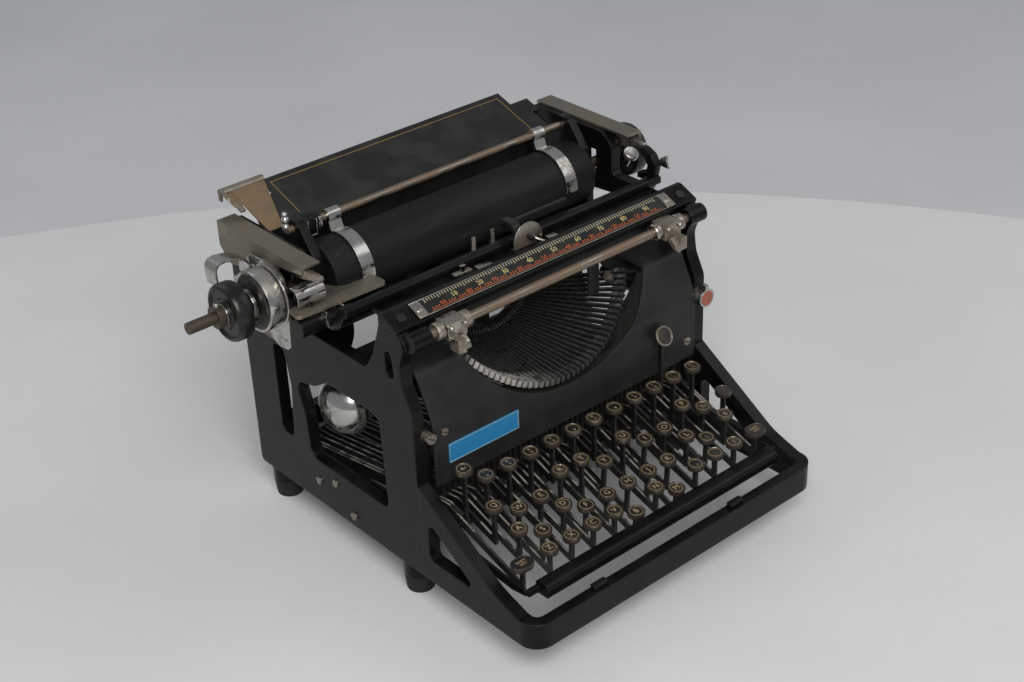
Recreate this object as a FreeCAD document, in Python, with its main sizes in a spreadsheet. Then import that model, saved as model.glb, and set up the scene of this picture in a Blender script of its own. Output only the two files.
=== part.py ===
import FreeCAD, Part
import math
import os
import re
from types import SimpleNamespace

# A front-strike office typewriter.  X runs across the keyboard, Y from the typist to the rear and Z up.
# While the pieces are made, X = 0 is the middle plane, Y = 0 the face of the front bar and Z = 0 the table.
# Each sub-part is then moved by origin_x and origin_y, which centre the whole machine on its base.

sizes = {
    "origin_x": 25.5,  # moves the middle of the whole outline to X = 0
    "origin_y": -149.5,  # and to Y = 0
    # frame
    "half_width": 131.9,  # middle plane to the outside of a side frame
    "side_wall": 9.0,
    "rail_bottom": 26.0,  # underside of the base rails above the table
    "front_depth": 8.0,  # front bar, front to back
    "front_height": 19.0,
    "front_radius": 14.0,  # corner of the front bar seen from above
    "post_front": 110.0,  # front face of the front posts
    "post_back": 143.0,
    "post_width": 15.0,
    "frame_rear": 299.0,
    "sill_height": 36.0,  # bottom rail of a side frame
    "top_rail": 167.0,  # top of the side frame's upper rail
    "top_rail_depth": 33.0,
    "head_top": 205.0,  # seat of the scale bar on the front posts
    "rear_post": 34.0,
    "slot_length": 18.0,  # upright slot in front of the rear post
    "window_rib": 6.0,  # between that slot and the window
    "foot_radius": 11.0,
    "foot_inset": 12.4,  # from the side frame's outside to the middle of a foot
    "rear_foot_inset": 14.0,
    "foot_height": 13.0,
    "front_foot": 131.0,
    "boss_height": 13.0,
    "screw_radius": 3.2,
    "seat_gap": 0.3,  # clearance between neighbours that don't touch
    "running_fit": 0.06,  # radial clearance of a shaft in its bearing
    # front plate
    "plate_inset": 12.9,
    "plate_face": 106.0,
    "plate_wall": 2.0,
    "plate_bottom": 92.0,
    "plate_bend": 140.0,  # where the plate starts to lean back
    "plate_top": 172.0,
    "lean_back": 121.0,  # where the lean ends and the level shoulder starts
    "shoulder_back": 158.0,
    "throat_radius": 91.6,  # the round opening over the type
    "throat_bottom": 119.0,
    "badge_length": 59.0,
    "badge_height": 14.0,
    "badge_inset": 11.0,  # from the plate's left edge
    "badge_bottom": 106.5,
    "badge_wall": 0.8,
    # keyboard
    "keyboard_margin": 27.125,  # side of the machine to the half step outside the top row
    "first_key": 11.975,  # moves the top row to the right of the middle
    "front_row": 34.1,  # key centres of the front row
    "row_pitch": 18.0,
    "front_row_top": 67.5,  # top of the front row's caps
    "row_rise": 10.43,
    "cap_radius": 5.7,
    "cap_height": 3.4,
    "lever_wall": 1.5,
    "lever_depth": 7.0,
    "stem_width": 4.0,
    "key_drop": 10.0,  # how far a pressed key goes down
    "fulcrum_inset": 31.0,  # levers' pivot in front of the frame's rear
    "fulcrum_z": 44.0,
    "fulcrum_radius": 3.0,
    "lever_eye": 6.0,
    "lever_knee": 106.0,  # where the levers start down towards the keys
    "knee_height": 76.0,
    "lever_front_height": 52.0,  # top edge of a lever under the front row
    "comb_face": 117.0,
    "comb_wall": 3.0,
    "comb_base": 40.0,
    "comb_top": 90.0,
    "comb_slot": 2.3,
    "button_lean": 60.0,  # tabulator button's face, degrees from level
    "shift_left_inset": 20.9,
    "release_gap": 2.225,  # from the right shift lever to the margin release's
    "shift_stretch": 2.0,  # extra half length of an oval shift key
    "space_arm_inset": 17.4,
    "space_end": 7.5,  # end of the space bar inside its arm
    "space_front": 14.5,
    "space_depth": 12.0,
    "space_top": 57.5,
    "space_height": 10.0,
    # type basket
    "bar_count": 43,
    "bar_pitch": 2.25,  # degrees between neighbouring type bars
    "bar_wall": 1.3,
    "bar_depth": 4.6,
    "hub_radius": 3.6,
    "slug_width": 2.9,
    "slug_length": 9.0,
    "slug_depth": 4.2,
    "print_y": 194.4,  # where the type meets the paper line
    "print_z": 205.5,
    "middle_pivot_y": 188.0,
    "middle_pivot_z": 127.0,
    "basket_tilt": 50.0,  # lean of the pivot arc's plane from level
    "head_gap": 3.6,  # throat edge to the type at rest
    "segment_wall": 7.0,  # segment's metal on each side of the pivots
    "segment_back": 8.0,
    "segment_front": 2.0,
    "slot_width": 1.7,
    "slot_floor": 4.4,
    # carriage and scale
    "carriage_x": -6.0,  # where the middle of the carriage stands
    "scale_back": 137.5,
    "scale_front": 119.0,
    "scale_height": 8.6,
    "scale_inset": 19.4,
    "scale_width": 13.0,
    "scale_wall": 1.2,
    "rod_y": 112.0,
    "rod_z": 200.5,
    "rod_radius": 3.2,
    "stop_width": 15.0,
    "stop_inset": 19.0,
    "front_rail_depth": 18.0,
    "front_rail_height": 3.5,
    "beam_bottom": 207.0,  # carriage's front beam
    "beam_height": 6.0,
    "beam_front": 153.5,
    "beam_back": 161.5,
    "end_inner": 130.0,  # carriage end casting, from the carriage's middle
    "end_wall": 8.0,
    "end_top": 233.5,
    "cover_width": 14.0,
    "cover_wall": 1.8,
    "cover_front": 183.6,
    "cover_back": 279.2,
    "rear_rail_front": 262.0,
    "rear_rail_back": 280.0,
    "rear_rail_top": 175.0,
    "rear_beam_height": 11.0,
    "platen_y": 218.0,
    "platen_z": 204.5,
    "platen_radius": 22.5,
    "platen_half": 114.0,
    "shaft_radius": 4.0,
    "shaft_left": 213.0,
    "shaft_right": 174.0,
    "knob_radius": 17.5,
    "knob_width": 11.0,
    "left_knob": 175.5,  # near face of the left knob from the carriage's middle
    "right_knob": 160.0,
    "lift": 6.5,  # travel of the shift
    "slot_gap": 2.6,  # round the platen's shaft in the carriage ends
    "shift_plate_inner": 115.0,
    "shift_plate_wall": 6.0,
    "ratchet_radius": 20.0,
    "ratchet_width": 14.0,
    "ratchet_inner": 150.2,
    "table_half": 105.0,
    "table_front_y": 241.0,
    "table_front_z": 229.5,
    "table_depth": 49.0,
    "table_rise": 17.0,
    "table_wall": 2.0,
    "apron_gap": 5.3,  # between the platen and the sheet behind it
    "apron_wall": 1.0,
    "guide_width": 27.0,
    "guide_front": 11.0,  # its width at the front end
    "bail_y": 231.0,
    "bail_z": 236.5,
    "bail_radius": 2.5,
    "finger_offset": 90.0,
    "finger_width": 10.0,
    "finger_wall": 1.0,
    "finger_gap": 0.8,
    "finger_end": 184.0,  # degrees round the platen from its rear to the finger's tip
    "feed_radius": 6.0,
    "feed_shaft": 2.2,
    "feed_angle": 22.0,  # each feed roller from straight under the platen, degrees
    "lever_plate": 2.4,  # line-space lever
    "lever_z": 204.2,
    # escapement, spring drum, bell and ribbon
    "tooth_pitch": 2.54,
    "tooth_depth": 1.5,
    "pinion_teeth": 24,
    "rack_half": 112.0,
    "rack_wall": 5.0,
    "drum_radius": 27.0,
    "drum_width": 12.0,
    "drum_x": -80.0,
    "drum_z": 112.0,
    "bell_radius": 23.0,
    "bell_wall": 1.4,
    "bell_depth": 17.0,
    "bell_y": 224.0,
    "bell_z": 96.0,
    "spool_inset": 34.9,
    "spool_y": 150.5,
    "spool_z": 150.0,
    "spool_radius": 21.0,
    "spool_width": 13.0,
    "vibrator_y": 196.0,
    "vibrator_z": 177.0,  # bottom of the ribbon carrier's crosspiece
    "vibrator_wall": 1.5,
    "release_back": 14.0,  # release lever's pivot behind the cover's front edge
    "release_drop": 7.5,
    "release_bore": 2.0,
    "lever_bore": 2.5,
    "crank_bore": 2.4,
    "hammer_bore": 1.5,
    "hammer_head": 2.6,
    "selector_inset": 5.9,
    "selector_z": 137.0,
    "selector_radius": 7.0,
    "arch_top": 226.0,  # the hoop over the carriage's front beam
    "disc_radius": 9.0,
    "disc_z": 212.8,
}

# what fits into the frame takes its place from the frame's own sizes
keys_in_row = (11, 11, 11, 10)
fitted = {
    "foot_x": "half_width - foot_inset",
    "rear_foot": "frame_rear - rear_foot_inset",
    "plate_half": "half_width - plate_inset",
    "badge_left": "badge_inset - half_width + plate_inset",
    "key_pitch": f"2 * (half_width - keyboard_margin) / {keys_in_row[0]}",
    "top_row_x": "first_key + keyboard_margin - half_width",
    "fulcrum_y": "frame_rear - fulcrum_inset",
    "shift_left_x": "half_width - shift_left_inset",
    "release_x": "top_row_x + 10.5 * key_pitch",
    "shift_right_x": "release_x - release_gap",
    "space_arm_x": "half_width - space_arm_inset",
    "space_half": "half_width - space_arm_inset - space_end",
    "scale_half": "half_width - scale_inset",
    "spool_x": "half_width - spool_inset",
    "selector_x": "half_width - selector_inset",
}

doc = FreeCAD.newDocument("typewriter")
dims = doc.addObject("Spreadsheet::Sheet", "dims")
cells = [*sizes.items(), *((alias, "=" + formula) for alias, formula in fitted.items())]
for row, (alias, content) in enumerate(cells, start=1):
    dims.set(f"A{row}", alias)
    dims.set(f"B{row}", str(content))
    dims.setAlias(f"B{row}", alias)
doc.recompute()
d = SimpleNamespace(**{alias: float(dims.get(alias)) for alias, content in cells})

vec = FreeCAD.Vector
subparts = []


# ---- helpers ----

def sheet(text):
    """Put the sheet's name before each alias: 'head_top - 2' becomes 'dims.head_top - 2'."""
    return re.sub(r"[a-z_]+", lambda found: ("dims." if hasattr(d, found.group()) else "") + found.group(),
                  str(text))


def bind(item, **cells):
    for name, text in cells.items():
        item.setExpression(name, sheet(text))
    return item


def place(item, x=0, y=0, z=0, turn=None):
    if turn:
        item.Placement = FreeCAD.Placement(vec(), FreeCAD.Rotation(*turn))
    for axis, text in zip("xyz", (x, y, z)):
        item.setExpression("Placement.Base." + axis, sheet(text))
    return item


def box(name, x, y, z, length, width, height):
    """A block from its low corner and its size along X, Y and Z."""
    item = doc.addObject("Part::Box", name)
    bind(item, Length=length, Width=width, Height=height)
    return place(item, x, y, z)


along_x = (vec(0, 1, 0), 90)
along_y = (vec(1, 0, 0), -90)


def rod(name, x, y, z, radius, length, turn=None):
    """A cylinder from the centre of its first end; turn is along_x or along_y, or None for upright."""
    item = doc.addObject("Part::Cylinder", name)
    bind(item, Radius=radius, Height=length)
    return place(item, x, y, z, turn)


def cut(name, base, *tools):
    item = doc.addObject("Part::Cut", name)
    item.Base = base
    item.Tool = tools[0] if len(tools) == 1 else group(name + "_tools", *tools)
    return item


def fuse(name, *pieces):
    item = doc.addObject("Part::MultiFuse", name)
    item.Shapes = list(pieces)
    return item


def group(name, *pieces):
    item = doc.addObject("Part::Compound", name)
    item.Links = list(pieces)
    return item


def shaped(name, shape):
    item = doc.addObject("Part::Feature", name)
    item.Shape = shape
    return item


def rounded(points):
    """Straight runs through (u, v, radius) points, with a tangent arc of that radius at each corner."""
    corners = []
    count = len(points)
    for index, (u, v, radius) in enumerate(points):
        here = vec(u, v, 0)
        before = vec(*points[index - 1][:2], 0)
        after = vec(*points[(index + 1) % count][:2], 0)
        back = (before - here).normalize()
        ahead = (after - here).normalize()
        half = back.getAngle(ahead) / 2
        if radius == 0:
            corners.append((here, None, here))
            continue
        reach = radius / math.tan(half)
        middle = here + (back + ahead).normalize() * (radius / math.sin(half) - radius)
        corners.append((here + back * reach, middle, here + ahead * reach))
    edges = []
    for index, (start, middle, end) in enumerate(corners):
        if middle:
            edges.append(Part.Arc(start, middle, end))
        following = corners[(index + 1) % count][0]
        if (following - end).Length > 1e-6:
            edges.append(Part.LineSegment(end, following))
    return edges


def circle(u, v, radius):
    return [Part.Circle(vec(u, v, 0), vec(0, 0, 1), radius)]


# a sketch's own turn for each plane, and the sign of its normal along the machine's axis
planes = {
    "YZ": (FreeCAD.Rotation(vec(1, 1, 1), 120), "x"),
    "XZ": (FreeCAD.Rotation(vec(1, 0, 0), 90), "y"),
    "XY": (FreeCAD.Rotation(), "z"),
}


def sketch_in(owner, name, edges):
    maker = owner.newObject if owner else doc.addObject
    sketch = maker("Sketcher::SketchObject", name)
    sketch.addGeometry(edges, False)
    return sketch


def prism(name, plane, start, length, *loops):
    """A flat piece: closed loops drawn in a plane, from start and length long along the plane's axis."""
    sketch = sketch_in(None, name + "_outline", [edge for loop in loops for edge in loop])
    turn, axis = planes[plane]
    sketch.Placement = FreeCAD.Placement(vec(), turn)
    # the XZ plane's normal points to the front, so its sketch stands at the far face
    offset = f"{start} + {length}" if plane == "XZ" else start
    sketch.setExpression("Placement.Base." + axis, sheet(offset))
    item = doc.addObject("Part::Extrusion", name)
    item.Base = sketch
    item.DirMode = "Normal"
    item.Solid = True
    return bind(item, LengthFwd=length)


def turned(name, x, y, z, profile):
    """A piece turned about an axis along X through (y, z); its profile is (along, radius) from x."""
    sketch = sketch_in(None, name + "_profile", profile)
    place(sketch, x, y, z, (vec(1, 0, 0), 90))
    item = doc.addObject("Part::Revolution", name)
    item.Source = sketch
    item.Axis = vec(1, 0, 0)
    item.Solid = True
    item.FaceMakerClass = "Part::FaceMakerBullseye"
    item.setExpression("Base.y", sheet(y))
    item.setExpression("Base.z", sheet(z))
    return item


def origin_plane(body, plane):
    return next(f for f in body.Origin.OriginFeatures if f.Role == plane + "_Plane")


def casting(name, plane, start, length, outline, *openings):
    """A PartDesign body: one pad, with its openings pocketed through it."""
    body = doc.addObject("PartDesign::Body", name)
    offset = f"-({start} + {length})" if plane == "XZ" else start
    loops = [outline] + list(openings)
    for index, loop in enumerate(loops):
        sketch = sketch_in(body, f"{name}_sketch_{index}", loop)
        sketch.AttachmentSupport = (origin_plane(body, plane), [""])
        sketch.MapMode = "FlatFace"
        sketch.setExpression("AttachmentOffset.Base.z", sheet(offset))
        kind = "PartDesign::Pad" if index == 0 else "PartDesign::Pocket"
        feature = body.newObject(kind, f"{name}_{'pad' if index == 0 else 'pocket'}_{index}")
        feature.Profile = sketch
        # a pocket is cut against its sketch's normal, so it is reversed to go through the pad
        feature.Reversed = index > 0
        bind(feature, Length=length)
    return body


def subpart(name, *pieces):
    """One named sub-part of the machine, moved to the machine's own origin."""
    item = group(name, *pieces)
    item.Label = name
    place(item, "origin_x", "origin_y")
    subparts.append(item)


def mirrored(name, piece):
    """The same piece on the other side of the middle plane."""
    item = doc.addObject("Part::Mirroring", name)
    item.Source = piece
    item.Normal = vec(1, 0, 0)
    return item


def both_sides(name, piece):
    return [piece, mirrored(name + "_other", piece)]


# ---- frame ----

sill_top = d.rail_bottom + d.sill_height
window_top = d.top_rail - d.top_rail_depth
slot_front = d.frame_rear - d.rear_post - d.slot_length
window_back = slot_front - d.window_rib
inside = "half_width - side_wall"
span = "2 * (half_width - side_wall)"

side_outline = rounded([
    (d.post_front, d.rail_bottom, 0),
    (d.frame_rear, d.rail_bottom, 4),
    (d.frame_rear, d.top_rail - 20, 10),
    (d.frame_rear - 12, d.top_rail, 8),
    (d.post_back + 12, d.top_rail, 8),
    (d.post_back + 3, d.top_rail + 14, 12),
    (d.scale_back, d.head_top, 0),
    (d.scale_front + 2, d.head_top, 0),
    (d.post_front + 4, d.head_top - 8, 6),
    (d.post_front + 10, d.head_top - 24, 14),
    (d.post_front + 8, d.top_rail, 14),
    (d.post_front, d.top_rail - 16, 12),
])
window = rounded([
    (d.post_back + 3, window_top, 8),
    (window_back - 38, window_top, 12),
    (window_back - 24, window_top - 9, 7),
    (window_back, window_top - 15, 8),
    (window_back - 8, window_top - 40, 10),
    (window_back - 10, sill_top, 9),
    (d.post_back, sill_top, 6),
])
rear_slot = rounded([
    (slot_front + 5, window_top + 6, 6),
    (d.frame_rear - d.rear_post, window_top + 6, 5),
    (d.frame_rear - d.rear_post, sill_top + 6, 5),
    (slot_front + 4, sill_top + 6, 5),
    (slot_front, window_top - 22, 8),
])
head_slot = rounded([
    (d.post_front + 15, d.top_rail + 3, 4),
    (d.post_front + 24, d.top_rail + 3, 4),
    (d.post_front + 24, d.top_rail + 22, 4),
    (d.post_front + 17, d.top_rail + 22, 3),
])
post_outline = rounded([
    (-d.half_width, d.post_front, 5),
    (-(d.half_width - d.post_width), d.post_front, 4),
    (-(d.half_width - d.post_width), d.post_front + 14, 3),
    (-d.half_width, d.post_front + 14, 0),
])


def side_frame(name, mirror):
    plate = casting(name + "_plate", "YZ", "-half_width", "side_wall",
                    side_outline, window, rear_slot, head_slot)
    post = prism(name + "_post", "XY", "rail_bottom", "plate_bend - 3 - rail_bottom", post_outline)
    pieces = [plate, post]
    for place_name, foot_y in (("front", "front_foot"), ("rear", "rear_foot")):
        pieces.append(rod(f"{name}_{place_name}_socket", "-foot_x", foot_y, "foot_height",
                          "foot_radius", "rail_bottom + boss_height - foot_height"))
    pieces.append(rod(name + "_rod_boss", "-half_width + 3", "rod_y", "rod_z", "2 * rod_radius",
                      "post_width", along_x))
    pieces.append(box(name + "_spool_arm", "-half_width + side_wall - 1", "spool_y - 6", "spool_z - 10",
                      "half_width - side_wall + 1 - spool_x + 6", 12, 4))
    pieces.append(rod(name + "_spool_spindle", "-spool_x", "spool_y", "spool_z - 8", "shaft_radius / 2",
                      "spool_width + 12"))
    whole = fuse(name + "_casting", *pieces)
    subpart(name, mirrored(name + "_mirror", whole) if mirror else whole)


side_frame("side_frame_left", False)
side_frame("side_frame_right", True)

arm_start = d.front_radius + 2
arm_outline = rounded([
    (arm_start, d.rail_bottom, 0),
    (d.post_front, d.rail_bottom, 0),
    (d.post_front, d.plate_bottom + 5, 0),
    (d.post_front - 70, d.rail_bottom + d.front_height + 7.5, 50),
    (arm_start, d.rail_bottom + d.front_height, 0),
])
arm_opening = rounded([
    (d.post_front - 56, d.rail_bottom + 17.5, 3),
    (d.post_front - 8, d.rail_bottom + 17.5, 4),
    (d.post_front - 8, d.rail_bottom + 50, 5),
])
# the bar turns both corners and reaches back into the arms
bar_end = arm_start + 2
bar_inside = d.half_width - d.side_wall
bar_outline = rounded([
    (-d.half_width, 0, d.front_radius),
    (d.half_width, 0, d.front_radius),
    (d.half_width, bar_end, 0),
    (bar_inside, bar_end, 0),
    (bar_inside, d.front_depth, 5),
    (-bar_inside, d.front_depth, 5),
    (-bar_inside, bar_end, 0),
    (-d.half_width, bar_end, 0),
])
left_arm = casting("left_arm", "YZ", "-half_width", "side_wall", arm_outline, arm_opening)
front_bar = casting("front_bar", "XY", "rail_bottom", "front_height", bar_outline)
subpart("front_frame", fuse("front_casting", front_bar, *both_sides("left_arm", left_arm)))

rear_top = box("rear_top_bar", f"-({inside})", "rear_rail_front", "top_rail - 16", span,
               "rear_rail_back - rear_rail_front", 16)
rear_base = box("rear_base_bar", f"-({inside})", "frame_rear - 12", "rail_bottom + boss_height", span, 9, 20)
drum_hanger = box("drum_hanger", "drum_x - 9", "rear_rail_back - 5", "drum_z - 10", 18, 5,
                  "top_rail - 10 - drum_z + 10")
drum_stud = rod("drum_stud", "drum_x", "rear_rail_back - 5", "drum_z", "shaft_radius",
                "drum_width + 9", along_y)
pinion_z = d.rear_rail_top + 1.0 - d.pinion_teeth * d.tooth_pitch / (2 * math.pi)
pinion_stud = rod("pinion_stud", 0, "rear_rail_back", pinion_z, "shaft_radius / 2", 13, along_y)
subpart("rear_frame", fuse("rear_casting", rear_top, drum_hanger, drum_stud, pinion_stud), rear_base)

feet = []
for side in (-1, 1):
    for index, foot_y in enumerate(("front_foot", "rear_foot")):
        foot = doc.addObject("Part::Cone", f"foot_{side + 1}_{index}")
        bind(foot, Radius1="foot_radius - 1.5", Radius2="foot_radius", Height="foot_height")
        feet.append(place(foot, f"{side} * foot_x", foot_y))
subpart("rubber_feet", *feet)

# ---- front plate and its badge ----

lean = rounded([
    (d.plate_face, d.plate_bottom, 0),
    (d.plate_face, d.plate_bend, 22),
    (d.lean_back, d.plate_top, 8),
    (d.shoulder_back, d.plate_top, 0),
    (d.shoulder_back, d.plate_top - d.plate_wall, 0),
    (d.lean_back + 1, d.plate_top - d.plate_wall, 6),
    (d.plate_face + d.plate_wall, d.plate_bend, 20),
    (d.plate_face + d.plate_wall, d.plate_bottom, 0),
])
plate_sheet = prism("plate_sheet", "YZ", "-plate_half", "2 * plate_half", lean)
throat_z = d.throat_bottom + d.throat_radius
throat = rod("throat", 0, "plate_face - 10", "throat_bottom + throat_radius",
             "throat_radius", "shoulder_back", along_y)
plate_lugs = [box(f"plate_lug_{index}", x, "plate_face + plate_wall - 0.5", "plate_bend - 22", 10,
                  "post_front - plate_face - plate_wall + 0.5", 10)
              for index, x in enumerate(("-plate_half", "plate_half - 10"))]
subpart("front_plate", fuse("front_plate_whole", cut("front_plate_cut", plate_sheet, throat), *plate_lugs))
subpart("badge_plate", box("badge", "badge_left", "plate_face - badge_wall", "badge_bottom",
                           "badge_length", "badge_wall", "badge_height"))

# ---- key levers ----

eye = circle(d.fulcrum_y, d.fulcrum_z, d.fulcrum_radius + d.running_fit)


def lever_top(y):
    """Height of a lever's top edge in front of the knee."""
    slope = (d.knee_height - d.lever_front_height) / (d.lever_knee - d.front_row)
    return d.lever_front_height + slope * (y - d.front_row)


def lever_outline(key_y, stem_top):
    """A key lever seen from the side: eye round the fulcrum, arm, knee, sloping front and stem."""
    half = d.stem_width / 2
    foot_top = lever_top(key_y)
    return rounded([
        (d.fulcrum_y + d.lever_eye, d.fulcrum_z - d.lever_eye, 5),
        (d.fulcrum_y + d.lever_eye, d.fulcrum_z + d.lever_eye, 5),
        (d.fulcrum_y - d.lever_eye, d.fulcrum_z + d.lever_eye, 4),
        (d.lever_knee, d.knee_height, 12),
        (key_y + half, foot_top, 1.5),
        (key_y + half, stem_top, 0),
        (key_y - half, stem_top, 0),
        (key_y - half, foot_top - d.lever_depth, 2),
        (d.lever_knee, d.knee_height - d.lever_depth, 12),
        (d.fulcrum_y - d.lever_eye, d.fulcrum_z - d.lever_eye + 1, 4),
    ])


def key(name, x, y, top, stretch=0, pressed=False):
    """A lever and the cap on its stem; a pressed key is turned down about the fulcrum."""
    lever = prism(name + "_lever", "YZ", f"{x} - lever_wall / 2", "lever_wall",
                  lever_outline(y, top - d.cap_height), eye)
    if stretch:
        half = d.cap_radius + stretch
        cap = prism(name + "_cap", "XY", f"{top} - cap_height", "cap_height", rounded([
            (x + along * half, y + across * d.cap_radius, 0.95 * d.cap_radius)
            for along, across in ((-1, -1), (1, -1), (1, 1), (-1, 1))]))
    else:
        cap = rod(name + "_cap", x, y, f"{top} - cap_height", "cap_radius", "cap_height")
    pieces = [lever, cap]
    if not pressed:
        return pieces
    reach = math.hypot(d.fulcrum_y - y, top - d.fulcrum_z)
    angle = math.degrees(d.key_drop / reach)
    turned = []
    for piece in pieces:
        # the turn acts on the finished piece, so it is set on a group that holds it
        holder = group(piece.Name + "_down", piece)
        turn = FreeCAD.Rotation(vec(1, 0, 0), angle)
        pivot = vec(0, d.fulcrum_y, d.fulcrum_z)
        holder.Placement = FreeCAD.Placement(pivot - turn.multVec(pivot), turn)
        turned.append(holder)
    return turned


# quarter-pitch steps of the four rows, from the top row to the front row
row_steps = (0, -0.5, -0.25, 0.25)
held_down = {1: (1, 2, 5, 7, 8, 10), 2: (1, 3, 4, 5, 6, 7, 9), 3: (4, 6)}
working_keys = {(0, 5): "a", (3, 5): "b"}

pressed_pieces = []
lever_places = []
for row_index, (step, key_count) in enumerate(zip(row_steps, keys_in_row)):
    steps_back = len(row_steps) - 1 - row_index
    key_y = d.front_row + steps_back * d.row_pitch
    key_top = d.front_row_top + steps_back * d.row_rise
    row_pieces = []
    for place_in_row in range(key_count):
        key_x = d.top_row_x + (step + place_in_row) * d.key_pitch
        lever_places.append(key_x)
        pressed = place_in_row in held_down.get(row_index, ())
        pieces = key(f"key_{row_index + 1}_{place_in_row}", key_x, key_y, key_top, pressed=pressed)
        if pressed:
            pressed_pieces += pieces
        elif (row_index, place_in_row) in working_keys:
            subpart("type_key_" + working_keys[row_index, place_in_row], *pieces)
        else:
            row_pieces += pieces
    subpart(f"key_row_{row_index + 1}", *row_pieces)
subpart("keys_held_down", *pressed_pieces)

backspace_x = -d.shift_left_x + 2.7
backspace = key("backspace", backspace_x, d.front_row + 3 * d.row_pitch + 3, d.front_row_top + 4 * d.row_rise)
subpart("backspace_key", *backspace)
margin_release = key("margin_release", d.release_x, d.front_row + 1.8 * d.row_pitch,
                     d.front_row_top + 1.6 * d.row_rise)
subpart("margin_release_key", *margin_release)

tab_x = d.top_row_x + 9.125 * d.key_pitch
tab_top = d.front_row_top + 5.7 * d.row_rise
# its round button leans back against the front plate
tab_y = d.plate_face - 3.5
tab_lever = prism("tabulator_lever", "YZ", f"{tab_x} - lever_wall / 2", "lever_wall",
                  lever_outline(tab_y, tab_top - d.cap_height), eye)
tab_button = rod("tabulator_button", tab_x, tab_y, f"{tab_top} - cap_height", "cap_radius", "cap_height",
                 (vec(1, 0, 0), d.button_lean))
subpart("tabulator_key", fuse("tabulator_whole", tab_lever, tab_button))

shift_pieces = []
for tag, shift_x in (("left", -d.shift_left_x), ("right", d.shift_right_x)):
    shift_pieces += key(f"shift_{tag}", shift_x, d.front_row, d.front_row_top, stretch=d.shift_stretch)
tie = box("shift_tie", "-shift_left_x - lever_wall / 2", "fulcrum_y + lever_eye + 1.5 * seat_gap",
          "fulcrum_z - 4", "shift_left_x + shift_right_x + lever_wall", 5, 8)
tie_ends = [box(f"tie_end_{index}", x, "fulcrum_y + lever_eye - 1", "fulcrum_z - 4", "lever_wall", 3, 8)
            for index, x in enumerate(("-shift_left_x - lever_wall / 2", "shift_right_x - lever_wall / 2"))]
shift_levers = fuse("shift_levers", shift_pieces[0], shift_pieces[2], tie, *tie_ends)
subpart("shift_keys", shift_levers, shift_pieces[1], shift_pieces[3])

space_arm = prism("space_arm", "YZ", "-space_arm_x - lever_wall / 2", "lever_wall", rounded([
    (d.fulcrum_y + d.lever_eye, d.fulcrum_z - d.lever_eye, 5),
    (d.fulcrum_y + d.lever_eye, d.fulcrum_z + d.lever_eye, 5),
    (d.fulcrum_y - d.lever_eye, d.fulcrum_z + d.lever_eye, 4),
    (d.lever_knee + 20, d.knee_height - 17, 14),
    (d.front_row + 6, d.lever_front_height, 10),
    (d.space_front + d.space_depth, d.space_top - 5.5, 3),
    (d.space_front + d.space_depth, d.space_top - d.space_height, 1),
    (d.front_row + 6, d.space_top - d.space_height - 2, 8),
    (d.lever_knee + 20, d.knee_height - 25, 14),
    (d.fulcrum_y - d.lever_eye, d.fulcrum_z - d.lever_eye + 1, 4),
]), eye)
space_lug = box("space_lug", "-space_arm_x - lever_wall / 2", "space_front + space_depth - 3",
                "space_top - space_height + 1", "space_arm_x + lever_wall / 2 - space_half + 2", 3,
                "space_height - 5.5")
space_bar = prism("space_bar_piece", "YZ", "-space_half", "2 * space_half", rounded([
    (d.space_front, d.space_top - d.space_height, 2),
    (d.space_front + d.space_depth, d.space_top - d.space_height, 1),
    (d.space_front + d.space_depth, d.space_top, 3),
    (d.space_front, d.space_top, 4),
]))
subpart("space_bar", fuse("space_bar_whole", space_bar, *both_sides("space_arm", space_arm),
                          *both_sides("space_lug", space_lug)))

fulcrum_rod = rod("fulcrum_rod", f"-({inside})", "fulcrum_y", "fulcrum_z", "fulcrum_radius", span, along_x)
comb_levers = sorted(lever_places + [backspace_x, d.release_x, tab_x, -d.shift_left_x, d.shift_right_x])
comb_plate = box("comb_plate", "-half_width + post_width", "comb_face", "comb_base",
                 "2 * (half_width - post_width)", "comb_wall", "comb_top - comb_base")
comb_slots = [box(f"comb_slot_{index}", f"{x} - comb_slot / 2", "comb_face - 1", "comb_base + 8", "comb_slot",
                  "comb_wall + 2", "comb_top - comb_base") for index, x in enumerate(comb_levers)]
space_slots = [box(f"space_slot_{index}", f"{side} * space_arm_x - 1.5 * comb_slot / 2", "comb_face - 1",
                   "comb_base - 12", "1.5 * comb_slot", "comb_wall + 2", "comb_top")
               for index, side in enumerate((-1, 1))]
lever_comb = cut("comb", comb_plate, *comb_slots, *space_slots)

# ---- type segment and type bars ----

tilt = math.radians(d.basket_tilt)
arc_up = vec(0, math.cos(tilt), math.sin(tilt))  # in the pivot plane, away from the typist
arc_normal = vec(0, -math.sin(tilt), math.cos(tilt))  # square to the pivot plane
print_point = vec(0, d.print_y, d.print_z)
to_print = print_point - vec(0, d.middle_pivot_y, d.middle_pivot_z)
pivot_radius = to_print.dot(arc_up)
arc_centre = print_point - arc_normal * to_print.dot(arc_normal)
bar_length = to_print.Length


def spoke(angle):
    """Unit vector from the arc's centre to the pivot of the bar at this angle from the middle bar."""
    return vec(math.sin(angle), 0, 0) - arc_up * math.cos(angle)


def pivot_of(angle):
    return arc_centre + spoke(angle) * pivot_radius


def head_at(angle, fall):
    """The type's place when the bar lies at this fall from the pivot plane's normal."""
    return pivot_of(angle) + (spoke(angle) * math.sin(fall) + arc_normal * math.cos(fall)) * bar_length


def rest_fall(angle):
    """The fall that leaves the type head_gap inside the throat's edge."""
    low = math.radians(10)
    high = math.radians(70)
    for _ in range(40):
        middle = (low + high) / 2
        head = head_at(angle, middle)
        if math.hypot(head.x, head.z - throat_z) < d.throat_radius - d.head_gap:
            low = middle
        else:
            high = middle
    return low


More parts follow.
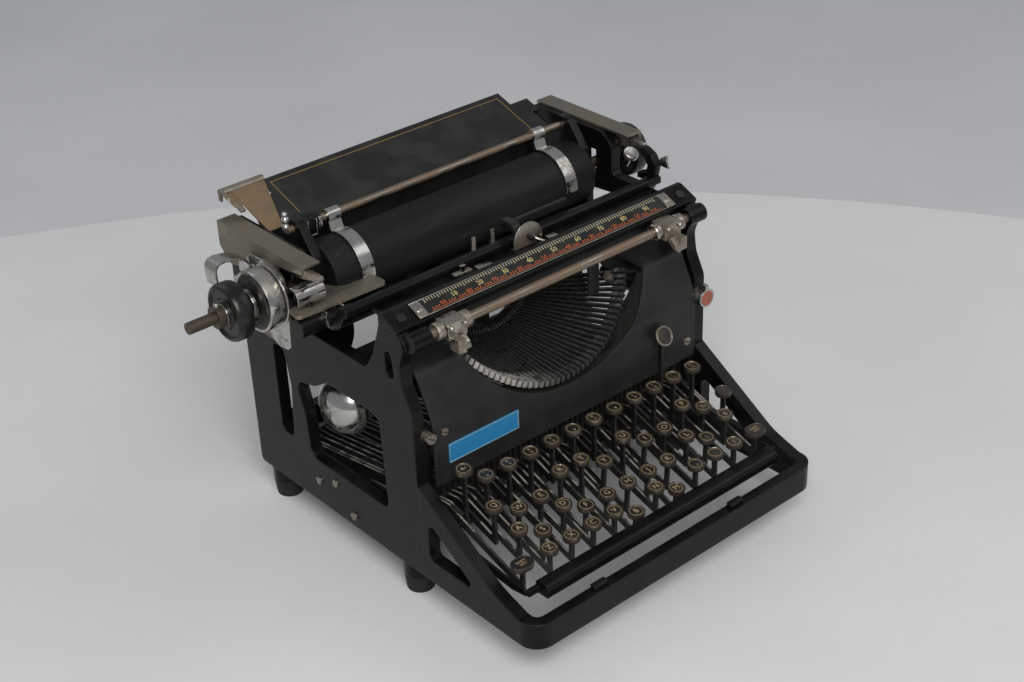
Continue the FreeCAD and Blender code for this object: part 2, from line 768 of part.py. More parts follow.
def bar_angle(index):
    return math.radians((index - (d.bar_count - 1) / 2) * d.bar_pitch)


def type_bar(index):
    """One type bar: hub, tapered arm and type slug, in its own plane through the print point."""
    angle = bar_angle(index)
    fall = rest_fall(angle)
    along = spoke(angle) * math.sin(fall) + arc_normal * math.cos(fall)
    up = arc_normal * math.sin(fall) - spoke(angle) * math.cos(fall)
    side = along.cross(up)
    pivot = pivot_of(angle)
    half = d.bar_depth / 2
    near = pivot - side * (d.bar_wall / 2)
    corners = [near + along * run + up * rise for run, rise in (
        (0, -half), (bar_length - d.slug_length, -0.8 * half), (bar_length - 1, -0.8 * half),
        (bar_length - 1, 0.8 * half), (0, half))]
    arm = Part.Face(Part.makePolygon(corners + corners[:1])).extrude(side * d.bar_wall)
    hub = Part.makeCylinder(d.hub_radius, d.bar_wall, near, side)
    slug_start = pivot + along * (bar_length - d.slug_length) - side * (d.slug_width / 2)
    foot = slug_start + up * (-0.8 * half)
    slug_corners = [foot, foot + along * d.slug_length, foot + along * d.slug_length + up * d.slug_depth,
                    foot + up * d.slug_depth]
    slug = Part.Face(Part.makePolygon(slug_corners + slug_corners[:1])).extrude(side * d.slug_width)
    return arm.fuse([hub, slug]).removeSplitter()


bar_order = sorted(range(len(lever_places)), key=lambda index: lever_places[index])
row_starts = [sum(keys_in_row[:row_index]) for row_index in range(len(keys_in_row))]
working_bars = {bar_order.index(row_starts[row_index] + place_in_row): tag
                for (row_index, place_in_row), tag in working_keys.items()}
resting_bars = []
for index in range(int(d.bar_count)):
    bar = shaped(f"type_bar_{index}", type_bar(index))
    if index in working_bars:
        subpart("type_bar_" + working_bars[index], bar)
    else:
        resting_bars.append(bar)
subpart("type_bars_at_rest", *resting_bars)


def arc_solid(inner, outer, back, front, half_angle):
    """A piece of ring about the arc's axis, from back to front along it and either side of the middle."""
    start = arc_centre + arc_normal * back
    ends = [[start + spoke(angle) * radius for radius in (inner, outer)]
            for angle in (-half_angle, half_angle)]
    middle = [start + spoke(0) * radius for radius in (inner, outer)]
    outline = Part.Wire([
        Part.Arc(ends[0][0], middle[0], ends[1][0]).toShape(),
        Part.makeLine(ends[1][0], ends[1][1]),
        Part.Arc(ends[1][1], middle[1], ends[0][1]).toShape(),
        Part.makeLine(ends[0][1], ends[0][0]),
    ])
    return Part.Face(outline).extrude(arc_normal * (front - back))


last_angle = bar_angle(d.bar_count - 1) + math.radians(d.bar_pitch)
segment_ring = arc_solid(pivot_radius - d.segment_wall, pivot_radius + d.segment_wall, -d.segment_back,
                         d.segment_front, last_angle)
slots = []
for index in range(int(d.bar_count)):
    angle = bar_angle(index)
    outward = spoke(angle)
    tangent = arc_normal.cross(outward)
    corner = arc_centre + outward * (pivot_radius - 2 * d.segment_wall) - tangent * (d.slot_width / 2)
    corner = corner - arc_normal * d.slot_floor
    reach = outward * (4 * d.segment_wall)
    rise = arc_normal * (2 * d.segment_back)
    floor = Part.makePolygon([corner, corner + reach, corner + reach + rise, corner + rise, corner])
    slots.append(Part.Face(floor).extrude(tangent * d.slot_width))
segment = shaped("segment_casting", segment_ring.cut(Part.makeCompound(slots)))
segment_end = pivot_of(last_angle)
segment_low = d.middle_pivot_z - 8
arm_bottom = segment_end.z - 12.5
segment_arms = []
for side, tag in ((-1, "left"), (1, "right")):
    low_x = segment_end.x - 2 if side > 0 else -d.half_width + d.side_wall
    arm_length = d.half_width - d.side_wall - segment_end.x + 2
    segment_arms.append(box(f"segment_arm_{tag}", low_x, segment_end.y + 3, arm_bottom, arm_length, 10, 9))
carrier_post = box("carrier_post", -6, "vibrator_y + vibrator_wall + seat_gap", segment_low, 12, 4,
                   f"vibrator_z - 19 - {segment_low}")
post_foot = box("post_foot", -6, "vibrator_y - 2", segment_low, 12, "vibrator_wall + 2 + seat_gap + 1", 9)
subpart("type_segment", fuse("segment_whole", segment, *segment_arms, carrier_post, post_foot))

rest_inner = d.throat_radius + 2.2
rest_depth = 19
rest_top = d.plate_top - 7
# above the bend the ring keeps behind the leaning plate
rest_clearance = rounded([
    (d.plate_face, d.plate_bend - 6, 0),
    (d.plate_face + d.plate_wall, d.plate_bend - 6, 0),
    (d.lean_back + 3.5, d.plate_top - d.plate_wall, 0),
    (d.lean_back + 3.5, rest_top, 0),
    (d.plate_face + 2 * rest_depth, rest_top, 0),
    (d.plate_face + 2 * rest_depth, 2 * d.plate_top, 0),
    (d.plate_face, 2 * d.plate_top, 0),
])
rest_ring = cut("rest_ring", rod("rest_outer", 0, "plate_face + plate_wall", "throat_bottom + throat_radius",
                                 "throat_radius + 6", rest_depth, along_y),
                rod("rest_bore", 0, "plate_face - 1", "throat_bottom + throat_radius", rest_inner,
                    2 * rest_depth, along_y),
                prism("rest_top", "YZ", "-2 * throat_radius", "4 * throat_radius", rest_clearance))
subpart("type_rest", rest_ring)

# bell cranks hang on a cross shaft behind the levers, one to a type bar
crank_y = d.middle_pivot_y + 38
crank_z = d.fulcrum_z + 40
cranks = []
crank_wall = d.lever_wall * 0.7
for index, lever_x in enumerate(sorted(lever_places)):
    cranks.append(prism(f"crank_{index}", "YZ", f"{lever_x} - {crank_wall} / 2", crank_wall, rounded([
        (crank_y + 6, crank_z - 5, 3),
        (crank_y + 6, crank_z + 5, 4),
        (crank_y - 6, crank_z + 6, 4),
        (crank_y - 34, crank_z + 24, 2),
        (crank_y - 38, crank_z + 19, 2),
        (crank_y - 6, crank_z - 5, 4),
    ]), circle(crank_y, crank_z, d.crank_bore)))
hanger_left = min(lever_places) + 1.8
hanger_right = max(lever_places) + 2.2
hammer_y = segment_end.y + 7.5
hammer_z = arm_bottom - 7.5
hangers = [prism(f"crank_hanger_{index}", "YZ", x, 2, rounded([
    (segment_end.y + 3, arm_bottom, 0),
    (segment_end.y + 12, arm_bottom, 0),
    (crank_y + 6, d.bell_z + 6, 8),
    (crank_y + 6, crank_z - 6, 5),
    (crank_y - 8, crank_z - 6, 5),
    (crank_y - 8, d.bell_z + 6, 8),
])) for index, x in enumerate((hanger_left, hanger_right))]
crank_shaft = rod("crank_shaft", min(lever_places) - 1.2, crank_y, crank_z, "crank_bore",
                  hanger_right + 4 - min(lever_places), along_x)
hammer_pin = rod("hammer_pin", hanger_left - 8, hammer_y, hammer_z, "hammer_bore", 8.5, along_x)
subpart("bell_cranks", *cranks)
crank_carrier = fuse("crank_carrier", *hangers, crank_shaft, hammer_pin)
subpart("lever_comb_and_shafts", lever_comb, fulcrum_rod, crank_carrier)

# ---- scale, margin rod and rails ----

scale_bar = prism("scale_bar_piece", "YZ", "-half_width", "2 * half_width", rounded([
    (d.scale_front, d.head_top, 0),
    (d.scale_back, d.head_top, 0),
    (d.scale_back, d.head_top + d.scale_height, 1),
    (d.scale_back - 4, d.head_top + d.scale_height, 1),
    (d.scale_front, d.head_top + 2, 1),
]))
scale_web = box("scale_web", "-half_width + side_wall + seat_gap", "scale_front + 1", "head_top - 8",
                "2 * (half_width - side_wall - seat_gap)", "scale_back - scale_front - 1", 8)
subpart("scale_bar", fuse("scale_bar_whole", scale_bar, scale_web))

slope = math.atan2(d.scale_height - 2, d.scale_back - 4 - d.scale_front)
scale_plate = doc.addObject("Part::Box", "scale_plate_piece")
bind(scale_plate, Length="2 * scale_half", Width="scale_width", Height="scale_wall")
scale_run = (math.hypot(d.scale_height - 2, d.scale_back - 4 - d.scale_front) - d.scale_width) / 2
place(scale_plate, "-scale_half", f"scale_front + {scale_run * math.cos(slope)}",
      f"head_top + 2 + {scale_run * math.sin(slope)}", (vec(1, 0, 0), math.degrees(slope)))
subpart("scale_plate", scale_plate)

rod_half = d.half_width - d.post_width - 3
subpart("margin_rod", rod("margin_rod_piece", -rod_half, "rod_y", "rod_z", "rod_radius", 2 * rod_half,
                          along_x))

for side, tag in ((-1, "left"), (1, "right")):
    stop_x = f"{side} * ({rod_half} - stop_inset) - stop_width / 2"
    block = box(f"stop_block_{tag}", stop_x, "rod_y - 6.5", "rod_z - 6", "stop_width", 13, 11)
    finger = box(f"stop_finger_{tag}", f"{stop_x} + stop_width / 2 - 3 + {side} * 3", "rod_y - 14",
                 "rod_z - 13", 6, 8.5, 9)
    bore = rod(f"stop_bore_{tag}", f"{stop_x} - 1", "rod_y", "rod_z", "rod_radius + running_fit",
               "stop_width + 2", along_x)
    subpart("margin_stop_" + tag, cut(f"stop_{tag}", fuse(f"stop_solid_{tag}", block, finger), bore))

front_rail = box("front_rail", f"-({inside}) + seat_gap", "scale_back",
                 "beam_bottom - seat_gap - front_rail_height",
                 f"{span} - 2 * seat_gap", "front_rail_depth", "front_rail_height")
rear_rail = box("rear_rail", "-half_width", "rear_rail_front", "top_rail", "2 * half_width",
                "rear_rail_back - rear_rail_front", "rear_rail_top - top_rail")
subpart("carriage_rails", front_rail, rear_rail)

# ---- carriage ----

end_outline = rounded([
    (d.beam_front, d.beam_bottom, 1),
    (d.beam_front, d.beam_bottom + d.beam_height, 2.5),
    (d.beam_back, d.beam_bottom + d.beam_height, 2.5),
    (d.beam_back + 6, d.lever_z - 1.5, 3),
    (d.platen_y - 23, d.lever_z - 1.5, 4),
    (d.platen_y - 23, d.end_top - 8, 8),
    (d.platen_y - 12, d.end_top, 6),
    (d.cover_back, d.end_top, 6),
    (d.cover_back + 5, d.end_top - 8, 6),
    (d.rear_rail_back + 4, d.rear_rail_top + 1, 2),
    (d.rear_rail_front, d.rear_rail_top + 1, 4),
    (d.platen_y + 24, d.platen_z - 20, 10),
    (d.platen_y - 22, d.platen_z - 16, 10),
    (d.beam_back + 8, d.lever_z - 10, 6),
    (d.beam_back, d.lever_z - 6, 3),
    (d.scale_back + d.front_rail_depth + 1, d.beam_bottom, 0),
])
shaft_room = d.shaft_radius + d.slot_gap
shaft_slot = rounded([
    (d.platen_y - shaft_room, d.platen_z - shaft_room, 0),
    (d.platen_y + shaft_room, d.platen_z - shaft_room, 0),
    (d.platen_y + shaft_room, d.platen_z + d.lift + shaft_room, 0),
    (d.platen_y - shaft_room, d.platen_z + d.lift + shaft_room, 0),
])
ends = [casting(f"carriage_end_{tag}", "YZ", x, "end_wall", end_outline, shaft_slot)
        for tag, x in (("left", "carriage_x - end_inner - end_wall"), ("right", "carriage_x + end_inner"))]
beam_start = "carriage_x - end_inner - end_wall"
front_beam = prism("front_beam", "YZ", beam_start, "2 * (end_inner + end_wall)", rounded([
    (d.beam_front, d.beam_bottom, 1),
    (d.beam_back, d.beam_bottom, 2),
    (d.beam_back, d.beam_bottom + d.beam_height, 2.9),
    (d.beam_front, d.beam_bottom + d.beam_height, 2.9),
]))
rear_beam = box("rear_beam", "carriage_x - end_inner - 1", "rear_rail_front", "rear_rail_top + seat_gap",
                "2 * end_inner + 2", "rear_rail_back - rear_rail_front + 4", "rear_beam_height")
lever_lug = rod("lever_lug", "carriage_x - end_inner - end_wall - 18", "platen_y - 35", "lever_z - 9",
                6.5, 19, along_x)
lever_seat = rod("lever_seat", "carriage_x - end_inner - end_wall - 5", "platen_y - 32", "lever_z - 8", 5.6,
                 "8 - running_fit")
lever_pin = rod("lever_pin", "carriage_x - end_inner - end_wall - 5", "platen_y - 32", "lever_z - 4",
                "lever_bore", "lever_plate + 5")
release_pins = [rod(f"release_pin_{index}", x, "cover_front + release_back", "end_top - release_drop",
                    "release_bore", 7, along_x)
                for index, x in enumerate(("carriage_x - end_inner - end_wall - 6",
                                           "carriage_x + end_inner + end_wall - 1"))]
carriage = fuse("carriage_casting", *ends, front_beam, rear_beam, lever_lug, lever_seat, lever_pin,
                *release_pins)
subpart("carriage_frame", carriage)

cover_face = rounded([
    (d.cover_back, d.end_top, 0),
    (d.cover_front, d.end_top, 0),
    (d.cover_front, d.end_top - 3, 0),
    (d.platen_y - 4, d.end_top - 7, 4),
    (d.platen_y + 22, d.end_top - 22, 4),
    (d.cover_back - 10, d.end_top - 26, 4),
    (d.cover_back, d.end_top - 16, 3),
])
covers = []
for side, tag in ((-1, "left"), (1, "right")):
    inner = f"carriage_x + {side} * (end_inner + end_wall / 2)"
    outer = f"carriage_x + {side} * (end_inner + end_wall / 2 + cover_width)"
    low = outer if side < 0 else inner
    face = f"{outer}" if side < 0 else f"{outer} - cover_wall"
    flange = box(f"cover_flange_{tag}", low, "cover_front", "end_top", "cover_width",
                 "cover_back - cover_front", "cover_wall")
    sheet_face = prism(f"cover_face_{tag}", "YZ", face, "cover_wall", cover_face)
    covers.append(fuse(f"cover_{tag}", flange, sheet_face))
# the flat plate behind the line-space ratchet hangs outside the left cover
ratchet_plate = prism("ratchet_plate", "YZ",
                      "carriage_x - end_inner - end_wall / 2 - cover_width - cover_wall",
                      "cover_wall", rounded([
                          (d.platen_y - 14, d.platen_z + 18, 6),
                          (d.platen_y + 6, d.platen_z + 23, 8),
                          (d.platen_y + 22, d.platen_z + 18, 8),
                          (d.platen_y + 25, d.platen_z, 10),
                          (d.platen_y + 22, d.platen_z - 35.5, 6),
                          (d.platen_y - 5, d.platen_z - 35.5, 5),
                          (d.platen_y - 18, d.platen_z - 20, 10),
                      ]), shaft_slot)
subpart("carriage_end_covers", *covers, ratchet_plate)


def tooth_loop(count, pitch, root, tip, width_share=0.42):
    """Corners of a row of plain teeth from root to tip, as (along, height) pairs."""
    loop = []
    for index in range(count):
        start = index * pitch
        for share, height in ((0.5 - width_share / 2, root), (0.5 - width_share / 4, tip),
                              (0.5 + width_share / 4, tip), (0.5 + width_share / 2, root)):
            loop.append((start + share * pitch, height))
    return loop


pinion_radius = d.pinion_teeth * d.tooth_pitch / (2 * math.pi)
pitch_line = d.rear_rail_top + 1.0
rack_count = int(2 * d.rack_half / d.tooth_pitch)
# a tooth space of the rack stands over the pinion's top tooth when the machine is at rest
rack_start = -round(rack_count / 2 + d.carriage_x * -1 / d.tooth_pitch) * d.tooth_pitch
rack_points = [(rack_start + along, pitch_line + height) for along, height in
               tooth_loop(rack_count, d.tooth_pitch, d.tooth_depth / 2, -d.tooth_depth / 2 + 0.25)]
rack_top = d.rear_rail_top + d.seat_gap + d.rear_beam_height
rack_outline = [(rack_start, pitch_line + d.tooth_depth / 2)] + rack_points
rack_outline += [(rack_start + rack_count * d.tooth_pitch, pitch_line + d.tooth_depth / 2),
                 (rack_start + rack_count * d.tooth_pitch, rack_top - 1), (rack_start, rack_top - 1)]
rack = prism("rack_piece", "XZ", "rear_rail_back + 4", "rack_wall",
             rounded([(u, v, 0) for u, v in rack_outline]))
subpart("carriage_rack", rack)

gear_points = []
for along, height in tooth_loop(int(d.pinion_teeth), d.tooth_pitch, -d.tooth_depth / 2 - 0.2,
                                d.tooth_depth / 2 - 0.25):
    turn = (along - d.tooth_pitch / 2) / pinion_radius
    radius = pinion_radius + height
    gear_points.append((radius * math.sin(turn), pinion_z + radius * math.cos(turn), 0))
pinion_bore = circle(0, pinion_z, d.shaft_radius / 2 + d.running_fit)
pinion = prism("pinion_piece", "XZ", "rear_rail_back + 4", "rack_wall", rounded(gear_points), pinion_bore)
star_points = []
for index in range(int(d.pinion_teeth)):
    for share, radius in ((0, pinion_radius + 4), (0.12, pinion_radius + 4.4), (0.5, pinion_radius + 1)):
        turn = 2 * math.pi * (index + share) / d.pinion_teeth
        star_points.append((radius * math.sin(turn), pinion_z + radius * math.cos(turn), 0))
star = prism("star_piece", "XZ", "rear_rail_back + 4 + rack_wall + seat_gap", 2,
             rounded(star_points), pinion_bore)
hub_loop = circle(0, pinion_z, d.shaft_radius / 2 + 3)
star_hub = prism("star_hub", "XZ", "rear_rail_back + 4 + rack_wall - 0.5", 1.5, hub_loop, pinion_bore)
subpart("escapement_wheel", fuse("escapement_whole", pinion, star, star_hub))

drum_face = "rear_rail_back + 1"
drum_groove = cut("drum_groove", rod("groove_outer", "drum_x", f"{drum_face} + 3", "drum_z",
                                     "drum_radius + 1", "drum_width - 6", along_y),
                  rod("groove_inner", "drum_x", f"{drum_face} + 2", "drum_z", "drum_radius - 2",
                      "drum_width", along_y))
drum = cut("drum_piece", rod("drum_solid", "drum_x", drum_face, "drum_z", "drum_radius", "drum_width",
                             along_y),
           rod("drum_bore", "drum_x", f"{drum_face} - 1", "drum_z", "shaft_radius + running_fit",
               "drum_width + 2", along_y), drum_groove)
subpart("mainspring_drum", drum)

# ---- shift frame, paper table and feed rolls ----

table_run = math.hypot(d.table_depth, d.table_rise)
table_slope = math.atan2(d.table_rise, d.table_depth)


def under_table(run):
    """A point on the underside of the paper table, this far up its slope."""
    return (d.table_front_y + run * math.cos(table_slope),
            d.table_front_z - d.table_wall + run * math.sin(table_slope))


shift_outline = rounded([
    (d.platen_y - 13, d.platen_z - 34, 6),
    (d.platen_y + 20, d.platen_z - 34, 8),
    (d.platen_y + 40, d.platen_z - 10, 12),
    (under_table(table_run - 14)[0], under_table(table_run - 14)[1] - 4, 2),
    (*under_table(table_run - 14), 0),
    (*under_table(4), 2),
    (d.bail_y + 7, d.bail_z - 5, 2),
    (d.bail_y + 6, d.bail_z + 6, 5),
    (d.bail_y - 6, d.bail_z + 6, 5),
    (d.platen_y - 10, d.platen_z + 16, 12),
    (d.platen_y - 13, d.platen_z - 8, 12),
])
feed_reach = d.platen_radius + d.feed_radius + d.seat_gap
feed_turn = math.radians(d.feed_angle)
feed_z = d.platen_z - feed_reach * math.cos(feed_turn)
feed_places = {"front": d.platen_y - feed_reach * math.sin(feed_turn),
               "rear": d.platen_y + feed_reach * math.sin(feed_turn)}
bearings = [circle(d.platen_y, d.platen_z, d.shaft_radius + d.running_fit),
            circle(d.bail_y, d.bail_z, d.bail_radius)]
bearings += [circle(feed_y, feed_z, d.feed_shaft + d.running_fit) for feed_y in feed_places.values()]
shift_plates = [casting("shift_plate_left", "YZ", "carriage_x - shift_plate_inner - shift_plate_wall",
                        "shift_plate_wall", shift_outline, *bearings),
                casting("shift_plate_right", "YZ", "carriage_x + shift_plate_inner",
                        "shift_plate_wall", shift_outline, *bearings)]
tie_bar = box("shift_tie_bar", "carriage_x - shift_plate_inner - 1", "platen_y + 28", "platen_z - 14",
              "2 * shift_plate_inner + 2", 6, 12)
subpart("shift_frame", fuse("shift_casting", *shift_plates, tie_bar))

bail_length = "2 * (shift_plate_inner + shift_plate_wall + 4)"
subpart("bail_rod", rod("bail_rod_piece", "carriage_x - shift_plate_inner - shift_plate_wall - 4", "bail_y",
                        "bail_z", "bail_radius", bail_length, along_x))

table_turn = (vec(1, 0, 0), math.degrees(table_slope))
table = doc.addObject("Part::Box", "table_piece")
bind(table, Length="2 * table_half", Width=table_run, Height="table_wall")
place(table, "carriage_x - table_half", "table_front_y", "table_front_z - table_wall", table_turn)
# wider in front, where it lies between the plates of the shift frame
table_front = doc.addObject("Part::Box", "table_front_piece")
bind(table_front, Length="2 * (shift_plate_inner - seat_gap)", Width=0.7 * table_run, Height="table_wall")
place(table_front, "carriage_x - shift_plate_inner + seat_gap", "table_front_y", "table_front_z - table_wall",
      table_turn)
table_ears = []
for side, tag in ((-1, "left"), (1, "right")):
    ear = doc.addObject("Part::Box", f"table_ear_{tag}")
    bind(ear, Length="shift_plate_inner + shift_plate_wall - table_half + 1", Width=14, Height="table_wall")
    low = "carriage_x - shift_plate_inner - shift_plate_wall" if side < 0 else "carriage_x + table_half - 1"
    table_ears.append(place(ear, low, *under_table(0.45 * table_run), table_turn))
# the sheet that leads the paper down behind the platen
apron_back = d.platen_y + d.platen_radius + d.apron_gap
apron = prism("table_apron", "YZ", "carriage_x - table_half", "2 * table_half", rounded([
    (d.table_front_y + 0.2, d.table_front_z - 0.5, 0),
    (apron_back, d.platen_z + 1.5, 17),
    (apron_back - 8.8, d.platen_z - 19.7, 0),
    (apron_back - 8.8 + d.apron_wall, d.platen_z - 20.2, 0),
    (apron_back + 1.2 * d.apron_wall, d.platen_z + 1.5, 18),
    (d.table_front_y + 1.6, d.table_front_z - 0.5, 0),
]))
subpart("paper_table", fuse("table_whole", table, table_front, *table_ears, apron))

# the side guide narrows to the front
guide = doc.addObject("Part::Wedge", "guide_face")
bind(guide, Xmin=0, Ymin=0, Zmin=0, Xmax="guide_front", Ymax=table_run - 5, Zmax="table_wall / 2",
     X2min=0, Z2min=0, X2max="guide_width", Z2max="table_wall / 2")
guide_lift = d.table_wall + d.seat_gap
guide_y, guide_z = under_table(6)
guide_left = "carriage_x - end_inner + seat_gap"
place(guide, guide_left, guide_y - guide_lift * math.sin(table_slope),
      guide_z + guide_lift * math.cos(table_slope), table_turn)
guide_hook = doc.addObject("Part::Box", "guide_hook")
bind(guide_hook, Length="guide_width", Width="table_wall", Height="2 * table_wall + 2 * seat_gap")
hook_y, hook_z = under_table(table_run + d.seat_gap)
place(guide_hook, guide_left, hook_y, hook_z, table_turn)
subpart("paper_side_guide", fuse("guide_whole", guide, guide_hook))


def finger(tag, side):
    """A paper finger: collar on the bail rod, and a band that follows the platen round to its front."""
    inner = d.platen_radius + d.finger_gap
    outer = inner + d.finger_wall
    start = math.atan2(d.bail_z - d.platen_z, d.bail_y - d.platen_y)
    end = math.radians(d.finger_end)
    near, far = ([vec(d.platen_y + radius * math.cos(turn), d.platen_z + radius * math.sin(turn), 0)
                  for turn in (start, (start + end) / 2, end)] for radius in (inner, outer))
    band = [Part.Arc(*near), Part.LineSegment(near[2], far[2]), Part.Arc(*reversed(far)),
            Part.LineSegment(far[0], near[0])]
    x = f"carriage_x + {side} * finger_offset - finger_width / 2"
    strip = prism(f"finger_strip_{tag}", "YZ", x, "finger_width", band)
    collar = rod(f"finger_collar_{tag}", x, "bail_y", "bail_z", "bail_radius + 2", "finger_width", along_x)
    arm_start = vec(d.bail_y, d.bail_z, 0)
    arm_end = (near[0] + far[0]) * 0.5
    across = vec(-(arm_end - arm_start).y, (arm_end - arm_start).x, 0).normalize() * 1.6
    arm = prism(f"finger_arm_{tag}", "YZ", x, "finger_width", rounded([
        (*(arm_start + across)[:2], 0), (*(arm_end + across)[:2], 0),
        (*(arm_end - across)[:2], 0), (*(arm_start - across)[:2], 0)]))
    bore = rod(f"finger_bore_{tag}", f"{x} - 1", "bail_y", "bail_z", "bail_radius + running_fit",
               "finger_width + 2", along_x)
    whole = fuse(f"finger_solid_{tag}", strip, collar, arm)
    subpart("paper_finger_" + tag, cut(f"finger_{tag}", whole, bore))


finger("left", -1)
finger("right", 1)

for tag, feed_y in feed_places.items():
    shaft = rod(f"feed_shaft_{tag}", "carriage_x - shift_plate_inner - shift_plate_wall", feed_y, feed_z,
                "feed_shaft", "2 * (shift_plate_inner + shift_plate_wall)", along_x)
    rolls = [rod(f"feed_roll_{tag}_{index}", f"carriage_x + {centre} - 22", feed_y, feed_z, "feed_radius", 44,
                 along_x) for index, centre in enumerate((-72, 0, 72))]
    subpart("feed_roller_" + tag, fuse(f"feed_{tag}", shaft, *rolls))

platen_tube = cut("platen_tube", rod("platen_solid", "carriage_x - platen_half", "platen_y", "platen_z",
                                     "platen_radius", "2 * platen_half", along_x),
                  rod("platen_bore", "carriage_x - platen_half - 1", "platen_y", "platen_z", "shaft_radius",
                      "2 * platen_half + 2", along_x))
subpart("platen", platen_tube)
platen_axle = rod("platen_axle", "carriage_x - shaft_left", "platen_y", "platen_z", "shaft_radius",
                  "shaft_left + shaft_right", along_x)
collar_face = "carriage_x - left_knob - knob_width - 7"
shaft_collar = cut("shaft_collar", rod("collar_solid", collar_face, "platen_y", "platen_z",
                                       "shaft_radius + 3.5", 7, along_x),
                   rod("collar_bore", f"{collar_face} - 1", "platen_y", "platen_z", "shaft_radius", 9,
                       along_x))
subpart("platen_shaft", platen_axle, shaft_collar)
knobs = []
for tag, face in (("left", "carriage_x - left_knob - knob_width"), ("right", "carriage_x + right_knob")):
    disc = rod(f"knob_disc_{tag}", face, "platen_y", "platen_z", "knob_radius", "knob_width", along_x)
    bore = rod(f"knob_bore_{tag}", f"{face} - 1", "platen_y", "platen_z", "shaft_radius",
               "knob_width + 2", along_x)
    knobs.append(cut(f"knob_{tag}", disc, bore))
subpart("platen_knobs", *knobs)
cup_face = "carriage_x - ratchet_inner - ratchet_width"
cup = cut("ratchet_cup", rod("cup_solid", cup_face, "platen_y", "platen_z", "ratchet_radius", "ratchet_width",
                             along_x),
          rod("cup_bore", f"{cup_face} - 1", "platen_y", "platen_z", "shaft_radius",
              "ratchet_width + 2", along_x))
subpart("line_space_ratchet", cup)

# ---- levers on the carriage ----

lever_x = d.carriage_x - d.end_inner - d.end_wall - 5
lever_y = d.platen_y - 32
lever_plate = prism("line_lever_plate", "XY", "lever_z", "lever_plate", rounded([
    (lever_x - 13, lever_y + 5, 2),
    (lever_x - 15, lever_y - 8, 3),
    (lever_x + 54, lever_y - 9.5, 3),
    (lever_x + 54, lever_y + 5, 3),
    (lever_x + 32, lever_y + 5, 2),
    (lever_x + 27, lever_y + 8.5, 2),
    (lever_x + 20, lever_y + 20, 2),
    (lever_x + 16, lever_y + 20, 1.5),
    (lever_x + 16, lever_y + 5, 3),
    (lever_x, lever_y + 6, 4),
]), circle(lever_x, lever_y, d.lever_bore + d.running_fit))
subpart("line_space_lever", lever_plate)

release_y = d.cover_front + d.release_back
release_z = d.end_top - d.release_drop
for side, tag in ((-1, "left"), (1, "right")):
    face = f"carriage_x + {side} * (end_inner + end_wall + 3) - 1.5"
    loop = rounded([
        (release_y - 3, release_z - 4, 3),
        (release_y + 4, release_z - 4, 3),
        (release_y + 4, release_z + 4, 3),
        (release_y - 3, release_z + 4, 3),
        (release_y - 25, release_z + 5, 1),
        (release_y - 26, release_z + 2, 1),
    ])
    hole = circle(release_y, release_z, d.release_bore + d.running_fit)
    subpart("release_lever_" + tag, prism(f"release_piece_{tag}", "YZ", face, 3, loop, hole))

# ---- type guide, ribbon parts, bell and small parts ----

rail_top = d.beam_bottom - d.seat_gap
hoop_front = d.beam_front - d.seat_gap - 5
guide_foot = box("guide_foot", -12, hoop_front - 2, rail_top, 22, 4, 2.5)
hoop = prism("guide_hoop", "YZ", -9, 6, rounded([
    (hoop_front, rail_top, 0),
    (hoop_front, d.arch_top, 7),
    (d.beam_back + 5, d.arch_top - 1, 5),
    (d.beam_back + 5, d.arch_top - 9, 0),
    (d.beam_back + 2, d.arch_top - 9, 0),
    (d.beam_back + 2, d.arch_top - 4, 3),
    (hoop_front + 3, d.arch_top - 3, 5),
    (hoop_front + 3, rail_top, 0),
]))
wing = box("guide_wing", -9, "beam_back + 2", "arch_top - 9", 60, 3, 3)
disc = rod("guide_disc", 0, hoop_front - 1, "disc_z", "disc_radius", 2, along_y)
disc_floor = box("disc_floor", -12, hoop_front - 3, "beam_bottom - 20", 24, 8, f"20 - {d.seat_gap}")
stud = rod("guide_stud", 0, hoop_front - 7, "disc_z + 3", 1.6, 7, along_y)
guide_whole = fuse("type_guide_whole", guide_foot, hoop, wing, disc, stud)
subpart("type_guide", cut("type_guide_cut", guide_whole, disc_floor))

# ---- ribbon carrier and selector ----

carrier_legs = [prism(f"carrier_leg_{index}", "YZ", x, 3, rounded([
    (d.vibrator_y + d.vibrator_wall, d.vibrator_z, 0),
    (d.vibrator_y + d.vibrator_wall, d.vibrator_z + 7, 0),
    (d.vibrator_y - 3 + d.vibrator_wall, d.vibrator_z + 10, 0),
    (d.vibrator_y - 3 + d.vibrator_wall, d.vibrator_z + 24, 0),
    (d.vibrator_y - 3, d.vibrator_z + 24, 0),
    (d.vibrator_y - 3, d.vibrator_z + 9, 0),
    (d.vibrator_y, d.vibrator_z + 6, 0),
    (d.vibrator_y, d.vibrator_z, 0),
])) for index, x in enumerate((-10, 7))]
crosspiece = box("carrier_crosspiece", -10, "vibrator_y", "vibrator_z", 20, "vibrator_wall", 5)
carrier_stem = box("carrier_stem", -3, "vibrator_y", "vibrator_z - 40", 6, "vibrator_wall", 41)
subpart("ribbon_vibrator", fuse("vibrator_whole", *carrier_legs, crosspiece, carrier_stem))

selector_depth = 8.5
selector_solid = rod("selector_solid", "selector_x", f"post_front - seat_gap - {selector_depth}",
                     "selector_z", "selector_radius", selector_depth, along_y)
selector_bore = rod("selector_bore", "selector_x", f"post_front - {selector_depth} + 2", "selector_z",
                    "release_bore + running_fit", selector_depth, along_y)
selector_cup = cut("selector_cup", selector_solid, selector_bore)
pointer = box("selector_pointer", "selector_x - 1.5", f"post_front - seat_gap - {selector_depth}",
              "selector_z + selector_radius - 1", 3, 5, 4)
subpart("ribbon_selector", fuse("selector_whole", selector_cup, pointer))

